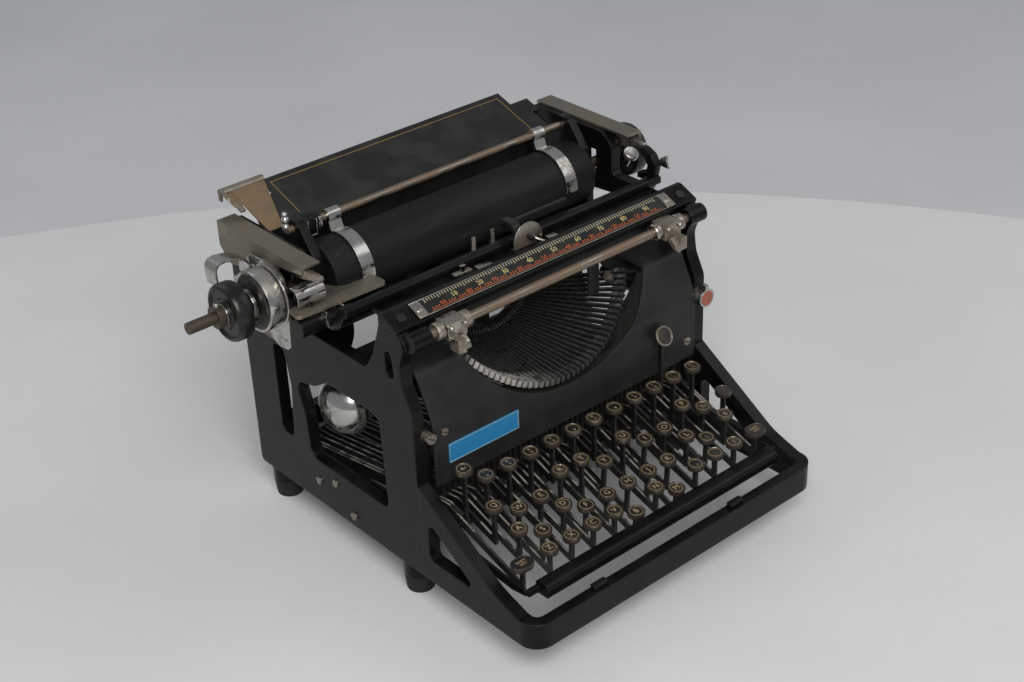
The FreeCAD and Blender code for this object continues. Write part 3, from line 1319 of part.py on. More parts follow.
spool = "spool_width - 3"
for side, tag in ((-1, "left"), (1, "right")):
    x = f"{side} * spool_x"
    parts = [rod(f"spool_low_{tag}", x, "spool_y", "spool_z", "spool_radius", 1.2),
             rod(f"spool_core_{tag}", x, "spool_y", "spool_z + 1", "spool_radius - 9", spool),
             rod(f"spool_high_{tag}", x, "spool_y", "spool_z + spool_width - 2.2", "spool_radius", 1.2)]
    bore = rod(f"spool_bore_{tag}", x, "spool_y", "spool_z - 1", "shaft_radius / 2 + running_fit",
               "spool_width + 2")
    subpart("ribbon_spool_" + tag, cut(f"spool_{tag}", fuse(f"spool_solid_{tag}", *parts), bore))

# ---- bell and hammer ----

bell_apex = -d.half_width + d.side_wall + 2
bell_bore = d.lever_bore + d.running_fit
wall = d.bell_wall
depth = d.bell_depth
bell_profile = [
    Part.Arc(vec(0, bell_bore, 0), vec(0.25 * depth, 0.67 * d.bell_radius, 0), vec(depth, d.bell_radius, 0)),
    Part.LineSegment(vec(depth, d.bell_radius, 0), vec(depth, d.bell_radius - wall, 0)),
    Part.Arc(vec(depth, d.bell_radius - wall, 0),
             vec(0.25 * depth + wall, 0.67 * d.bell_radius - 0.6 * wall, 0), vec(wall, bell_bore, 0)),
    Part.LineSegment(vec(wall, bell_bore, 0), vec(0, bell_bore, 0)),
]
bell_cup = turned("bell_cup", bell_apex, "bell_y", "bell_z", bell_profile)
bell_stud = rod("bell_stud", bell_apex - 1.6, "bell_y", "bell_z", "lever_bore", hanger_left - bell_apex + 1.6,
                along_x)
bell_nut = rod("bell_nut", bell_apex - 1.6, "bell_y", "bell_z", "2 * lever_bore", 1.6, along_x)
subpart("bell", bell_cup, fuse("bell_stud_whole", bell_stud, bell_nut))

hammer_x = bell_apex + depth - 5
hammer = prism("hammer_arm", "YZ", hammer_x, 2, rounded([
    (hammer_y - 4, hammer_z + 4, 3.5),
    (hammer_y + 4, hammer_z + 4, 3.5),
    (hammer_y + 4, hammer_z - 3, 3),
    (hammer_y - 4.5, hammer_z - 13, 0),
    (hammer_y - 7.5, hammer_z - 13, 0),
]), circle(hammer_y, hammer_z, d.hammer_bore + d.running_fit))
head_reach = d.bell_radius + d.hammer_head + 2 * d.seat_gap
head_turn = math.radians(137)
hammer_head = rod("hammer_head", hammer_x - 1.5, d.bell_y + head_reach * math.cos(head_turn),
                  d.bell_z + head_reach * math.sin(head_turn), "hammer_head", 5, along_x)
subpart("bell_hammer", fuse("hammer_whole", hammer, hammer_head))

# ---- screws and buttons ----

screws = [
    rod("post_button", "-selector_x + 3.2", "post_front - 7.5", "selector_z - 4.5", 3.6, 7.5, along_y),
    rod("plate_screw_left", "badge_left - 2.5", "plate_face - 1.2", "plate_bend - 8.5",
        "screw_radius - 0.6", 1.2, along_y),
    rod("plate_screw_right", "plate_half - 8.5", "plate_face - 1.2", "badge_bottom",
        "screw_radius", 1.2, along_y),
    rod("selector_stud", "selector_x", "post_front - 6.5", "selector_z", "release_bore", 6.5, along_y),
]
for index, (screw_y, screw_z) in enumerate(((224, 45), (204, 52.6), (184.7, 34.8))):
    screws.append(rod(f"sill_screw_{index}", "-half_width - 1.4", screw_y, screw_z, "screw_radius - 0.4", 1.4,
                      along_x))
slope_middle = (d.scale_back - 4 - d.scale_front) / 2
for index, screw_x in enumerate(("-scale_half - 10", "scale_half + 10")):
    screws.append(rod(f"scale_screw_{index}", screw_x, d.scale_front + slope_middle,
                      d.head_top + 2 + slope_middle * math.tan(slope), "screw_radius", 1.2,
                      (vec(1, 0, 0), math.degrees(slope))))
subpart("frame_screws", *screws)

doc.recompute()

# ---- check and write ----

for item in doc.Objects:
    if "Invalid" in item.State or "Error" in item.State:
        raise RuntimeError(f"{item.Name} did not build: {item.State}")
os.makedirs("parts", exist_ok=True)
for item in subparts:
    shape = item.Shape
    if shape.isNull() or not shape.isValid():
        raise RuntimeError(f"{item.Label} has no valid shape")
    shape.exportStep(f"parts/{item.Label}.step")
bounds = FreeCAD.BoundBox()
for item in subparts:
    bounds.add(item.Shape.BoundBox)
print(len(subparts), "sub-parts", [round(value, 1) for value in
      (bounds.XMin, bounds.XMax, bounds.YMin, bounds.YMax, bounds.ZMin, bounds.ZMax)])
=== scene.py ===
import math

import bmesh
import bpy
from mathutils import Matrix, Vector


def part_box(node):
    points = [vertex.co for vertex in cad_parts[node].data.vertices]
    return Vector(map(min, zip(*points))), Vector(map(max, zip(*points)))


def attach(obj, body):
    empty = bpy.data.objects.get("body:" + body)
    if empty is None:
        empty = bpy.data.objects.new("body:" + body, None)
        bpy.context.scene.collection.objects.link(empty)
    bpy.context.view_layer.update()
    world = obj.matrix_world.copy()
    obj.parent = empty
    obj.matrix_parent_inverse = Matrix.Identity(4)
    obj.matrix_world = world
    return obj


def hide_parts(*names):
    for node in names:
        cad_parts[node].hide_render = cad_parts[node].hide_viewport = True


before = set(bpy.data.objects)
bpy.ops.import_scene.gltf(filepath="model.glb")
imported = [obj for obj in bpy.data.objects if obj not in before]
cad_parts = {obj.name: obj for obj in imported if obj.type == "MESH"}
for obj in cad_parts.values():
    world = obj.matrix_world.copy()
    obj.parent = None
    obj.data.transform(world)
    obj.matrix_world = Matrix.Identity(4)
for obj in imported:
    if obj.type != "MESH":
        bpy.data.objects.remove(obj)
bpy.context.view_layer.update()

print("frame loaded with", len(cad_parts), "nodes")

# Pieces are drawn in millimetres: X across the keyboard from the middle of the machine,
# Y back from the face of the front bar, Z up from the table.
toRow = Matrix.Scale(0.001, 4) @ Matrix.Translation((25.5, -149.5, 0))
toMachine = toRow.inverted()


def nodeBox(node):
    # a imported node's lowest and highest corners in millimetres
    low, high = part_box(node)
    return toMachine @ Vector(low), toMachine @ Vector(high)


# camera, light and table

camera = {
    "place": (-632.1, -764.7, 726.4),  # mm, row frame
    "azimuth": -40.05,
    "elevation": 30.41,
    "roll": -2.36,
    "lens": 60.07,
}


def setCamera(c):
    turn = math.radians(c["azimuth"])
    rise = math.radians(c["elevation"])
    roll = math.radians(c["roll"])
    back = Vector((math.sin(turn) * math.cos(rise), -math.cos(turn) * math.cos(rise), math.sin(rise)))
    flat = Vector((0, 0, 1)).cross(back).normalized()
    right = flat * math.cos(roll) + back.cross(flat) * math.sin(roll)
    up = back.cross(right)
    lens = bpy.data.cameras.new("camera")
    lens.lens = c["lens"]
    lens.clip_end = 30
    eye = bpy.data.objects.new("camera", lens)
    eye.matrix_world = (Matrix.Translation(Vector(c["place"]) / 1000)
                        @ Matrix((right, up, back)).transposed().to_4x4())
    bpy.context.scene.collection.objects.link(eye)
    bpy.context.scene.camera = eye


setCamera(camera)

lamps = {
    "window": {"place": (-0.95, -1.5, 1.75), "size": 1.4, "power": 56, "tint": (1, 0.99, 0.975)},
    "side": {"place": (1.7, -1.0, 1.7), "size": 1.6, "power": 8, "tint": (1, 0.985, 0.96)},
    "back": {"place": (-0.4, 1.7, 1.7), "size": 1.6, "power": 6, "tint": (0.96, 0.98, 1)},
}
lampTarget = Vector((0, 0, 0.1))
room = {"tint": (0.92, 0.955, 1, 1), "strength": 0.32}


def hangLamp(name, l):
    # a lamp's place is in metres, from the middle of the machine
    light = bpy.data.lights.new(name, "AREA")
    light.size = l["size"]
    light.energy = l["power"]
    light.color = l["tint"]
    lamp = bpy.data.objects.new(name, light)
    away = Vector(l["place"]) - lampTarget
    lamp.matrix_world = Matrix.Translation(l["place"]) @ away.to_track_quat("Z", "Y").to_matrix().to_4x4()
    bpy.context.scene.collection.objects.link(lamp)


def lightRoom(r):
    world = bpy.data.worlds.new("room")
    world.use_nodes = True
    background = world.node_tree.nodes["Background"]
    background.inputs["Color"].default_value = r["tint"]
    background.inputs["Strength"].default_value = r["strength"]
    bpy.context.scene.world = world


for lampName, settings in lamps.items():
    hangLamp(lampName, settings)
lightRoom(room)
bpy.context.scene.view_settings.view_transform = "Standard"
print("camera and lamps set")


# finishes

class Value:
    # an output socket that can stand in a sum
    def __init__(self, finish, socket):
        self.finish = finish
        self.socket = socket

    def sum(self, operation, *parts):
        return self.finish.node("ShaderNodeMath", {"operation": operation}, parts)

    def __add__(self, other):
        return self.sum("ADD", self, other)

    def __sub__(self, other):
        return self.sum("SUBTRACT", self, other)

    def __rsub__(self, other):
        return self.sum("SUBTRACT", other, self)

    def __mul__(self, other):
        return self.sum("MULTIPLY", self, other)

    __radd__ = __add__


class Finish:
    # a material and the nodes that paint it
    def __init__(self, name):
        self.material = bpy.data.materials.new(name)
        self.material.use_nodes = True
        self.tree = self.material.node_tree
        self.tree.nodes.clear()
        self.spot = self.node("ShaderNodeTexCoord", output="Object")
        self.facing = self.node("ShaderNodeNewGeometry", output="Normal")

    def node(self, kind, settings=None, inputs=(), output=0):
        item = self.tree.nodes.new(kind)
        for name, setting in (settings or {}).items():
            setattr(item, name, setting)
        for slot, content in inputs.items() if isinstance(inputs, dict) else enumerate(inputs):
            if isinstance(content, Value):
                self.tree.links.new(content.socket, item.inputs[slot])
            else:
                item.inputs[slot].default_value = content
        return Value(self, item.outputs[output])

    def noise(self, size, detail=3, roughness=0.55, stretch=(1, 1, 1)):
        # blotches of about this size in millimetres
        spot = self.node("ShaderNodeMapping", inputs={"Vector": self.spot, "Scale": stretch})
        return self.node("ShaderNodeTexNoise", inputs={
            "Vector": spot, "Scale": 1000 / size, "Detail": detail, "Roughness": roughness})

    def band(self, value, low, high):
        # 0 below low, 1 above high
        smooth = {"interpolation_type": "SMOOTHSTEP"}
        return self.node("ShaderNodeMapRange", smooth, (value, low, high, 0, 1))

    def blend(self, mask, first, second):
        return self.node("ShaderNodeMix", {"data_type": "RGBA"}, {
            0: mask, 6: first if isinstance(first, Value) else (*first, 1),
            7: second if isinstance(second, Value) else (*second, 1)}, output=2)

    def softNormal(self, radius):
        # corners rounded over this radius in millimetres
        return self.node("ShaderNodeBevel", {"samples": 4}, {"Radius": radius / 1000})

    def edges(self, soft):
        # 1 on sharp corners
        same = self.node("ShaderNodeVectorMath", {"operation": "DOT_PRODUCT"}, (soft, self.facing), "Value")
        return 1 - same

    def upward(self):
        return self.node("ShaderNodeSeparateXYZ", inputs=(self.facing,), output="Z")

    def beyond(self, axis, place, soft=4):
        # 1 past this place on an axis, in millimetres
        along = self.node("ShaderNodeSeparateXYZ", inputs=(self.spot,), output=axis)
        edge = (toRow @ Vector((place, place, place)))["XYZ".index(axis)]
        return self.band(along, edge - soft / 2000, edge + soft / 2000)

    def bump(self, height, depth, normal=None):
        # depth in millimetres
        inputs = {"Height": height, "Distance": depth / 1000, "Strength": 1.0}
        if normal:
            inputs["Normal"] = normal
        return self.node("ShaderNodeBump", inputs=inputs)

    def close(self, **inputs):
        sockets = {name.replace("_", " "): content for name, content in inputs.items()}
        shader = self.node("ShaderNodeBsdfPrincipled", inputs=sockets)
        last = self.tree.nodes.new("ShaderNodeOutputMaterial")
        self.tree.links.new(shader.socket, last.inputs["Surface"])
        return self.material


def paintedFinish(name, s):
    # black japan: rubbed through on corners and lighter there also as a painted edge highlight, dusty on top
    f = Finish(name)
    soft = f.softNormal(s["corner"])
    sharp = f.edges(soft) + (f.noise(size=6) - 0.5) * 0.16
    # corners rubbed through to bare metal, and lightened there too as a painted edge highlight
    wearAndEdgeHighlight = f.band(sharp, s["wearFrom"], s["wearFrom"] + 0.12)
    blotch = f.noise(size=22, detail=4)
    dust = f.band(f.upward(), 0.35, 1.0) * f.band(blotch, 0.42, 0.68) * s["dust"]
    paint = f.blend(f.band(blotch, 0.3, 0.7), s["paint"], s["faded"])
    dusty = f.blend(dust, paint, s["dustColour"])
    colour = f.blend(wearAndEdgeHighlight * s["wear"], dusty, s["bareAndHighlight"])
    rough = s["rough"] + f.noise(size=9, detail=4) * 0.16 + dust * 0.3 + wearAndEdgeHighlight * 0.1
    if "topHighlight" in s:
        # painted highlight in patches on the upper faces, in the colour of bare metal
        paintedTopHighlight = f.band(f.upward(), 0.5, 0.8) * f.band(f.noise(size=15), 0.46, 0.56) * s["topHighlight"]
        colour = f.blend(paintedTopHighlight, colour, s["bareAndHighlight"])
    skin = f.bump(f.noise(size=1.6, detail=2), s["grain"], soft)
    return f.close(Base_Color=colour, Roughness=rough, Normal=skin, Metallic=wearAndEdgeHighlight * 0.35,
                   Specular_IOR_Level=s["shine"])


# bare is the colour of rubbed-through metal, also used for the painted edge and top highlights
commonPaint = {"wear": 0.5, "wearFrom": 0.2, "grain": 0.02}
enamel = paintedFinish("black_japan", {
    **commonPaint, "corner": 1.6, "paint": (0.0024, 0.0024, 0.0025), "faded": (0.0052, 0.005, 0.0046),
    "bareAndHighlight": (0.085, 0.07, 0.055), "dust": 0.1, "dustColour": (0.03, 0.027, 0.023), "rough": 0.2,
    "shine": 0.18})
satin = paintedFinish("satin_black", {
    **commonPaint, "corner": 0.9, "paint": (0.0086, 0.0087, 0.0082), "faded": (0.0155, 0.0155, 0.0142),
    "bareAndHighlight": (0.09, 0.072, 0.055), "dust": 0.22, "dustColour": (0.035, 0.033, 0.029), "rough": 0.38,
    "shine": 0.28})
# the levers also get a painted highlight in patches on their upper faces
leverBlack = paintedFinish("lever_black", {
    **commonPaint, "corner": 0.5, "paint": (0.0045, 0.0045, 0.0045), "faded": (0.01, 0.009, 0.008),
    "bareAndHighlight": (0.26, 0.245, 0.22), "wear": 0.7, "wearFrom": 0.12, "dust": 0.2,
    "dustColour": (0.06, 0.055, 0.048), "rough": 0.34, "shine": 0.4, "topHighlight": 0.75})


def platedFinish(name, s):
    # nickel plate with brown tarnish in patches and dirt in specks
    f = Finish(name)
    soft = f.softNormal(s["corner"])
    patch = f.noise(s["patch"], detail=5, roughness=0.6)
    speck = f.noise(size=2.2, roughness=0.6)
    brown = f.band(patch + speck * 0.25, s["from"], s["from"] + 0.22)
    colour = f.blend(brown * s["tarnish"], s["plate"], s["brown"])
    if "bright" in s:
        # cleaner metal in front of one place and left of another
        right, behind = s["brightTo"]
        faces = (1 - f.beyond("Y", behind)) * (1 - f.beyond("X", right, soft=50))
        colour = f.blend(faces, colour, s["bright"])
    dirt = f.band(f.noise(size=1.1, detail=2, roughness=0.5), 0.62, 0.75) * s["specks"]
    colour = f.blend(dirt, colour, s["dirt"])
    rough = s["rough"] + brown * s["dull"] + f.noise(size=5) * 0.08
    metal = 1 - brown * s["tarnish"] * 0.35
    if "blackAbove" in s:
        # painted over above this height
        black = f.beyond("Z", s["blackAbove"])
        colour = f.blend(black, colour, s["overpaint"])
        metal = metal * (1 - black)
    skin = f.bump(f.noise(size=1.2, detail=2), s["grain"], soft)
    return f.close(Base_Color=colour, Metallic=metal, Roughness=rough, Normal=skin)


commonPlate = {"corner": 0.5, "grain": 0.012, "specks": 0.5, "dirt": (0.05, 0.038, 0.028)}
nickel = platedFinish("nickel", {
    **commonPlate, "plate": (0.42, 0.395, 0.35), "brown": (0.15, 0.11, 0.075), "patch": 17, "from": 0.52,
    "tarnish": 0.75, "specks": 0.35, "rough": 0.17, "dull": 0.3})
screwNickel = platedFinish("screw_nickel", {
    **commonPlate, "corner": 0.3, "plate": (0.36, 0.34, 0.3), "brown": (0.14, 0.105, 0.07), "patch": 9,
    "from": 0.5, "tarnish": 0.8, "specks": 0.4, "rough": 0.24, "dull": 0.25, "blackAbove": 200,
    "overpaint": (0.01, 0.01, 0.0098)})
brownNickel = platedFinish("brown_nickel", {
    **commonPlate, "plate": (0.26, 0.238, 0.195), "brown": (0.17, 0.14, 0.098), "patch": 30, "from": 0.5,
    "tarnish": 0.7, "specks": 0.25, "rough": 0.34, "dull": 0.12, "grain": 0.008})
rodNickel = platedFinish("rod_nickel", {
    **commonPlate, "plate": (0.3, 0.255, 0.205), "brown": (0.19, 0.125, 0.08), "patch": 26, "from": 0.5,
    "tarnish": 0.8, "specks": 0.3, "rough": 0.28, "dull": 0.15, "grain": 0.008})
brownSteel = platedFinish("brown_steel", {
    **commonPlate, "plate": (0.13, 0.105, 0.08), "brown": (0.06, 0.045, 0.034), "patch": 12, "from": 0.46,
    "tarnish": 0.8, "specks": 0.4, "rough": 0.3, "dull": 0.2})
chrome = platedFinish("bright_nickel", {
    **commonPlate, "corner": 0.4, "plate": (0.5, 0.495, 0.475), "brown": (0.17, 0.14, 0.1), "patch": 12,
    "from": 0.58, "tarnish": 0.6, "specks": 0.3, "rough": 0.12, "dull": 0.3, "grain": 0.01})
ringNickel = platedFinish("ring_nickel", {
    **commonPlate, "corner": 0.2, "plate": (0.2, 0.178, 0.145), "brown": (0.045, 0.033, 0.024), "patch": 8,
    "from": 0.44, "tarnish": 0.9, "rough": 0.27, "dull": 0.2, "grain": 0.008})
copperTone = platedFinish("copper_tone", {
    **commonPlate, "corner": 0.4, "plate": (0.44, 0.31, 0.2), "brown": (0.2, 0.12, 0.065), "patch": 20,
    "from": 0.52, "tarnish": 0.7, "specks": 0.4, "rough": 0.3, "dull": 0.2, "grain": 0.01})
barSteel = platedFinish("bar_steel", {
    **commonPlate, "corner": 0.3, "plate": (0.17, 0.168, 0.16), "brown": (0.03, 0.028, 0.026), "patch": 7,
    "from": 0.46, "tarnish": 0.9, "rough": 0.3, "dull": 0.25, "grain": 0.01,
    "bright": (0.5, 0.485, 0.44), "brightTo": (-25, 127)})
darkSteel = platedFinish("dark_steel", {
    **commonPlate, "corner": 0.4, "plate": (0.085, 0.08, 0.074), "brown": (0.022, 0.02, 0.017), "patch": 14,
    "from": 0.46, "tarnish": 0.95, "rough": 0.36, "dull": 0.2})


def rubberFinish(name, s):
    # black rubber with pale scuffs
    f = Finish(name)
    soft = f.softNormal(0.5)
    streak = f.noise(size=14, detail=4, roughness=0.6, stretch=s["stretch"])
    colour = f.blend(f.band(streak, 0.35, 0.7), s["dark"], s["pale"])
    scuff = f.band(f.noise(size=3, detail=4, roughness=0.7, stretch=s["stretch"]), 0.62, 0.72) * s["scuff"]
    colour = f.blend(scuff, colour, (0.09, 0.085, 0.075))
    skin = f.bump(f.noise(size=0.9, detail=2), 0.02, soft)
    return f.close(Base_Color=colour, Roughness=s["rough"] + streak * 0.12, Normal=skin,
                   Specular_IOR_Level=s["shine"])


platenRubber = rubberFinish("platen_rubber", {
    "stretch": (0.15, 1, 1), "dark": (0.0042, 0.0042, 0.0043), "pale": (0.009, 0.0088, 0.0083),
    "scuff": 0.15, "rough": 0.46, "shine": 0.22})
footRubber = rubberFinish("foot_rubber", {
    "stretch": (1, 1, 1), "dark": (0.008, 0.0077, 0.0073), "pale": (0.02, 0.0185, 0.0165), "scuff": 0.5,
    "rough": 0.6, "shine": 0.3})
hardRubber = rubberFinish("hard_rubber", {
    "stretch": (1, 1, 1), "dark": (0.005, 0.0045, 0.0042), "pale": (0.013, 0.011, 0.009), "scuff": 0.25,
    "rough": 0.22, "shine": 0.35})


def enamelFinish(name, colour, rough=0.4, wear=0.5):
    # coloured enamel, duller in blotches
    f = Finish(name)
    blotch = f.band(f.noise(size=4, detail=4, roughness=0.65), 0.5, 0.7) * wear
    dull = tuple(part * 0.45 for part in colour)
    return f.close(Base_Color=f.blend(blotch, colour, dull), Roughness=rough + blotch * 0.2)


badgeBlue = enamelFinish("badge_blue", (0.011, 0.15, 0.33), 0.38, 0.35)
badgeEdge = enamelFinish("badge_edge", (0.12, 0.24, 0.33), 0.35)
selectorRed = enamelFinish("selector_red", (0.26, 0.07, 0.045))
goldLine = enamelFinish("gold_line", (0.2, 0.125, 0.035), 0.45)
markYellow = enamelFinish("mark_yellow", (0.47, 0.39, 0.16), 0.5, 0.3)
markRed = enamelFinish("mark_red", (0.37, 0.08, 0.022), 0.5, 0.3)
markCream = enamelFinish("mark_cream", (0.40, 0.37, 0.25), 0.5, 0.3)
legendCream = enamelFinish("legend_cream", (0.36, 0.27, 0.14), 0.5, 0.6)


def keyFaceFinish():
    # old card under glass, black gone amber in patches
    f = Finish("key_face")
    patch = f.noise(size=13)
    colour = f.blend(f.band(patch, 0.42, 0.66), (0.008, 0.0075, 0.007), (0.024, 0.018, 0.011))
    return f.close(Base_Color=colour, Roughness=0.34 + patch * 0.12, Coat_Weight=0.4, Coat_Roughness=0.15)


keyFace = keyFaceFinish()


def clothFinish(name, near, far):
    # plain cloth with slow waves
    f = Finish(name)
    wave = f.noise(size=260, roughness=0.5)
    fine = f.noise(size=12, detail=4, roughness=0.6)
    colour = f.blend(f.band(wave * 0.8 + fine * 0.2, 0.3, 0.7), near, far)
    return f.close(Base_Color=colour, Roughness=0.85, Normal=f.bump(wave, 2.5))


tableCloth = clothFinish("table_cloth", (0.60, 0.60, 0.595), (0.555, 0.556, 0.553))
roomGrey = clothFinish("room_grey", (0.54, 0.546, 0.556), (0.5, 0.506, 0.52))

nodeFinish = {
    enamel: "side_frame_left side_frame_right front_frame rear_frame scale_bar space_bar carriage_frame "
            "shift_frame carriage_rails",
    satin: "front_plate paper_table type_guide",
    leverBlack: "key_row_1 key_row_2 key_row_3 key_row_4 type_key_a type_key_b keys_held_down "
                "backspace_key margin_release_key tabulator_key shift_keys",
    nickel: "ribbon_vibrator release_lever_left release_lever_right margin_stop_left margin_stop_right",
    screwNickel: "frame_screws",
    brownNickel: "carriage_end_covers line_space_lever",
    rodNickel: "margin_rod bail_rod",
    brownSteel: "platen_shaft",
    chrome: "paper_finger_left paper_finger_right bell ribbon_selector line_space_ratchet",
    copperTone: "paper_side_guide",
    barSteel: "type_bars_at_rest type_bar_a type_bar_b",
    darkSteel: "type_segment type_rest bell_cranks bell_hammer carriage_rack escapement_wheel "
               "mainspring_drum ribbon_spool_left ribbon_spool_right scale_plate lever_comb_and_shafts",
    platenRubber: "platen feed_roller_front feed_roller_rear",
    footRubber: "rubber_feet",
    hardRubber: "platen_knobs",
    badgeBlue: "badge_plate",
}
dressed = set()
for finish, names in nodeFinish.items():
    for name in names.split():
        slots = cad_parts[name].data.materials
        for index in range(len(slots)):
            slots[index] = finish
        dressed.add(name)
print("finishes made, nodes left without one:", sorted(set(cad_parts) - dressed))


# making pieces

def addPiece(name, body, finish, work, smooth=40):
    # takes a mesh in millimetres and hangs it on a body
    work.transform(toRow)
    bmesh.ops.recalc_face_normals(work, faces=work.faces)
    mesh = bpy.data.meshes.new(name)
    work.to_mesh(mesh)
    work.free()
    mesh.materials.append(finish)
    if smooth:
        # shaded smooth but for edges sharper than this many degrees
        mesh.polygons.foreach_set("use_smooth", [True] * len(mesh.polygons))
        mesh.set_sharp_from_angle(angle=math.radians(smooth))
    piece = bpy.data.objects.new(name, mesh)
    bpy.context.scene.collection.objects.link(piece)
    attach(piece, body)
    return piece


def joinMesh(work, part):
    mesh = bpy.data.meshes.new("part")
    part.to_mesh(mesh)
    part.free()
    work.from_mesh(mesh)
    bpy.data.meshes.remove(mesh)


def addPlaced(work, placing, draw, *settings, **more):
    # draws a part by itself, then stands it on a matrix
    part = bmesh.new()
    draw(part, *settings, **more)
    part.transform(placing)
    joinMesh(work, part)


def roundEdges(work, edges, corner, segments=2):
    bmesh.ops.bevel(work, geom=edges, offset=corner, offset_type="OFFSET", affect="EDGES", segments=segments,
                    profile=0.5, material=-1)


def addBlock(work, low, high, corner=0, segments=2):
    # a block between two corners, its edges rounded
    low, high = Vector(low), Vector(high)
    made = bmesh.ops.create_cube(work, size=1)["verts"]
    bmesh.ops.scale(work, vec=high - low, verts=made)
    bmesh.ops.translate(work, vec=(low + high) / 2, verts=made)
    if corner:
        roundEdges(work, list({edge for vert in made for edge in vert.link_edges}), corner, segments)


def addTurning(work, profile, place=(0, 0, 0), axis="Z", steps=32):
    # profile is (radius, height) pairs; a pair with radius 0 closes the end
    turned = bmesh.new()
    start = [turned.verts.new((radius, 0, height)) for radius, height in profile]
    runs = [turned.edges.new(pair) for pair in zip(start, start[1:])]
    bmesh.ops.spin(turned, geom=start + runs, cent=(0, 0, 0), axis=(0, 0, 1), angle=math.tau, steps=steps,
                   use_merge=True)
    bmesh.ops.remove_doubles(turned, verts=turned.verts, dist=0.001)
    turn = {"X": Matrix.Rotation(math.pi / 2, 4, "Y"), "Y": Matrix.Rotation(-math.pi / 2, 4, "X"),
            "Z": Matrix.Identity(4)}
    turned.transform(Matrix.Translation(place) @ (axis if isinstance(axis, Matrix) else turn[axis]))
    joinMesh(work, turned)


def ballProfile(radius, steps):
    turns = [math.pi * step / steps for step in range(steps + 1)]
    return [(radius * math.sin(turn), -radius * math.cos(turn)) for turn in turns]


def addPlate(work, outline, axis, low, high, corner=0):
    # a flat plate: its outline seen along an axis, between two places on that axis
    spots = {"X": lambda u, v, along: (along, u, v), "Y": lambda u, v, along: (u, along, v)}
    rings = [[work.verts.new(spots[axis](u, v, along)) for u, v in outline] for along in (low, high)]
    faces = [work.faces.new(ring) for ring in rings]
    for index in range(len(outline)):
        after = (index + 1) % len(outline)
        faces.append(work.faces.new([rings[0][index], rings[0][after], rings[1][after], rings[1][index]]))
    if corner:
        roundEdges(work, list({edge for face in faces for edge in face.edges}), corner)


def addStrip(work, inner, outer, axis, low, high):
    # a bent strip of sheet, from its inner and its outer line
    addPlate(work, inner + outer[::-1], axis, low, high)


def addArcStrip(work, a, axis):
    # a strip bent along an arc, angles in degrees
    lines = []
    for shrink in (a["wall"], 0):
        turns = [math.radians(a["from"] + (a["to"] - a["from"]) * index / (a["count"] - 1))
                 for index in range(a["count"])]
        lines.append([(a["middle"][0] + math.cos(turn) * (a["reach"][0] - shrink),
                       a["middle"][1] + math.sin(turn) * (a["reach"][1] - shrink)) for turn in turns])
    addStrip(work, *lines, axis, *a["side"])


def addTube(work, points, radius, steps=10):
    # a round wire through the points
    points = [Vector(point) for point in points]
    rings = []
    for index, point in enumerate(points):
        ahead = (points[min(index + 1, len(points) - 1)] - points[max(index - 1, 0)]).normalized()
        side = ahead.orthogonal() if index == 0 else (side - ahead * side.dot(ahead))
        side.normalize()
        over = ahead.cross(side)
        rings.append([work.verts.new(point + (side * math.cos(turn) + over * math.sin(turn)) * radius)
                      for turn in (math.tau * step / steps for step in range(steps))])
    for near, far in zip(rings, rings[1:]):
        for step in range(steps):
            after = (step + 1) % steps
            work.faces.new([near[step], near[after], far[after], far[step]])
    work.faces.new(rings[0])
    work.faces.new(rings[-1])


def addWords(work, words, size, placing, spacing=1.0):
    # flat lettering, stood on a matrix in millimetres
    text = bpy.data.curves.new("words", "FONT")
    text.body = words
    text.size = size
    text.align_x = "CENTER"
    text.align_y = "CENTER"
    text.extrude = 0.05
    text.resolution_u = 2
    text.space_character = spacing
    holder = bpy.data.objects.new("words", text)
    bpy.context.scene.collection.objects.link(holder)
    bpy.context.view_layer.update()
    mesh = bpy.data.meshes.new_from_object(holder)
    mesh.transform(placing)
    work.from_mesh(mesh)
    bpy.data.objects.remove(holder)
    bpy.data.curves.remove(text)
    bpy.data.meshes.remove(mesh)


def borderStrips(low, high, across, upright):
    # a rectangle's border as pairs of corners: two strips across and two upright ones between them
    (left, bottom), (right, top) = low, high
    return (((left, bottom), (right, bottom + across)), ((left, top - across), (right, top)),
            ((left, bottom + across), (left + upright, top - across)),
            ((right - upright, bottom + across), (right, top - across)))


# key tops: a nickel ring round a card and its glass

# the tabulator's button leans back in front of the front plate
button = {
    "place": (81.0, 102.5, 123.55),
    "lean": 60,
    "height": 3.4,
    "rim": ((5.6, -0.4), (7.2, -0.2), (7.5, 0.5), (7.0, 1.3), (6.2, 1.3), (5.7, 0.5), (5.6, -0.4)),
}


def buttonPlacing(b):
    lean = Matrix.Rotation(math.radians(b["lean"]), 4, "X")
    return Matrix.Translation(b["place"]) @ lean @ Matrix.Translation((0, 0, b["height"]))


def buttonRim(b):
    rim = bmesh.new()
    addPlaced(rim, buttonPlacing(b), addTurning, b["rim"], steps=36)
    addPiece("tabulator_rim", "tabulator_key_body", nickel, rim)


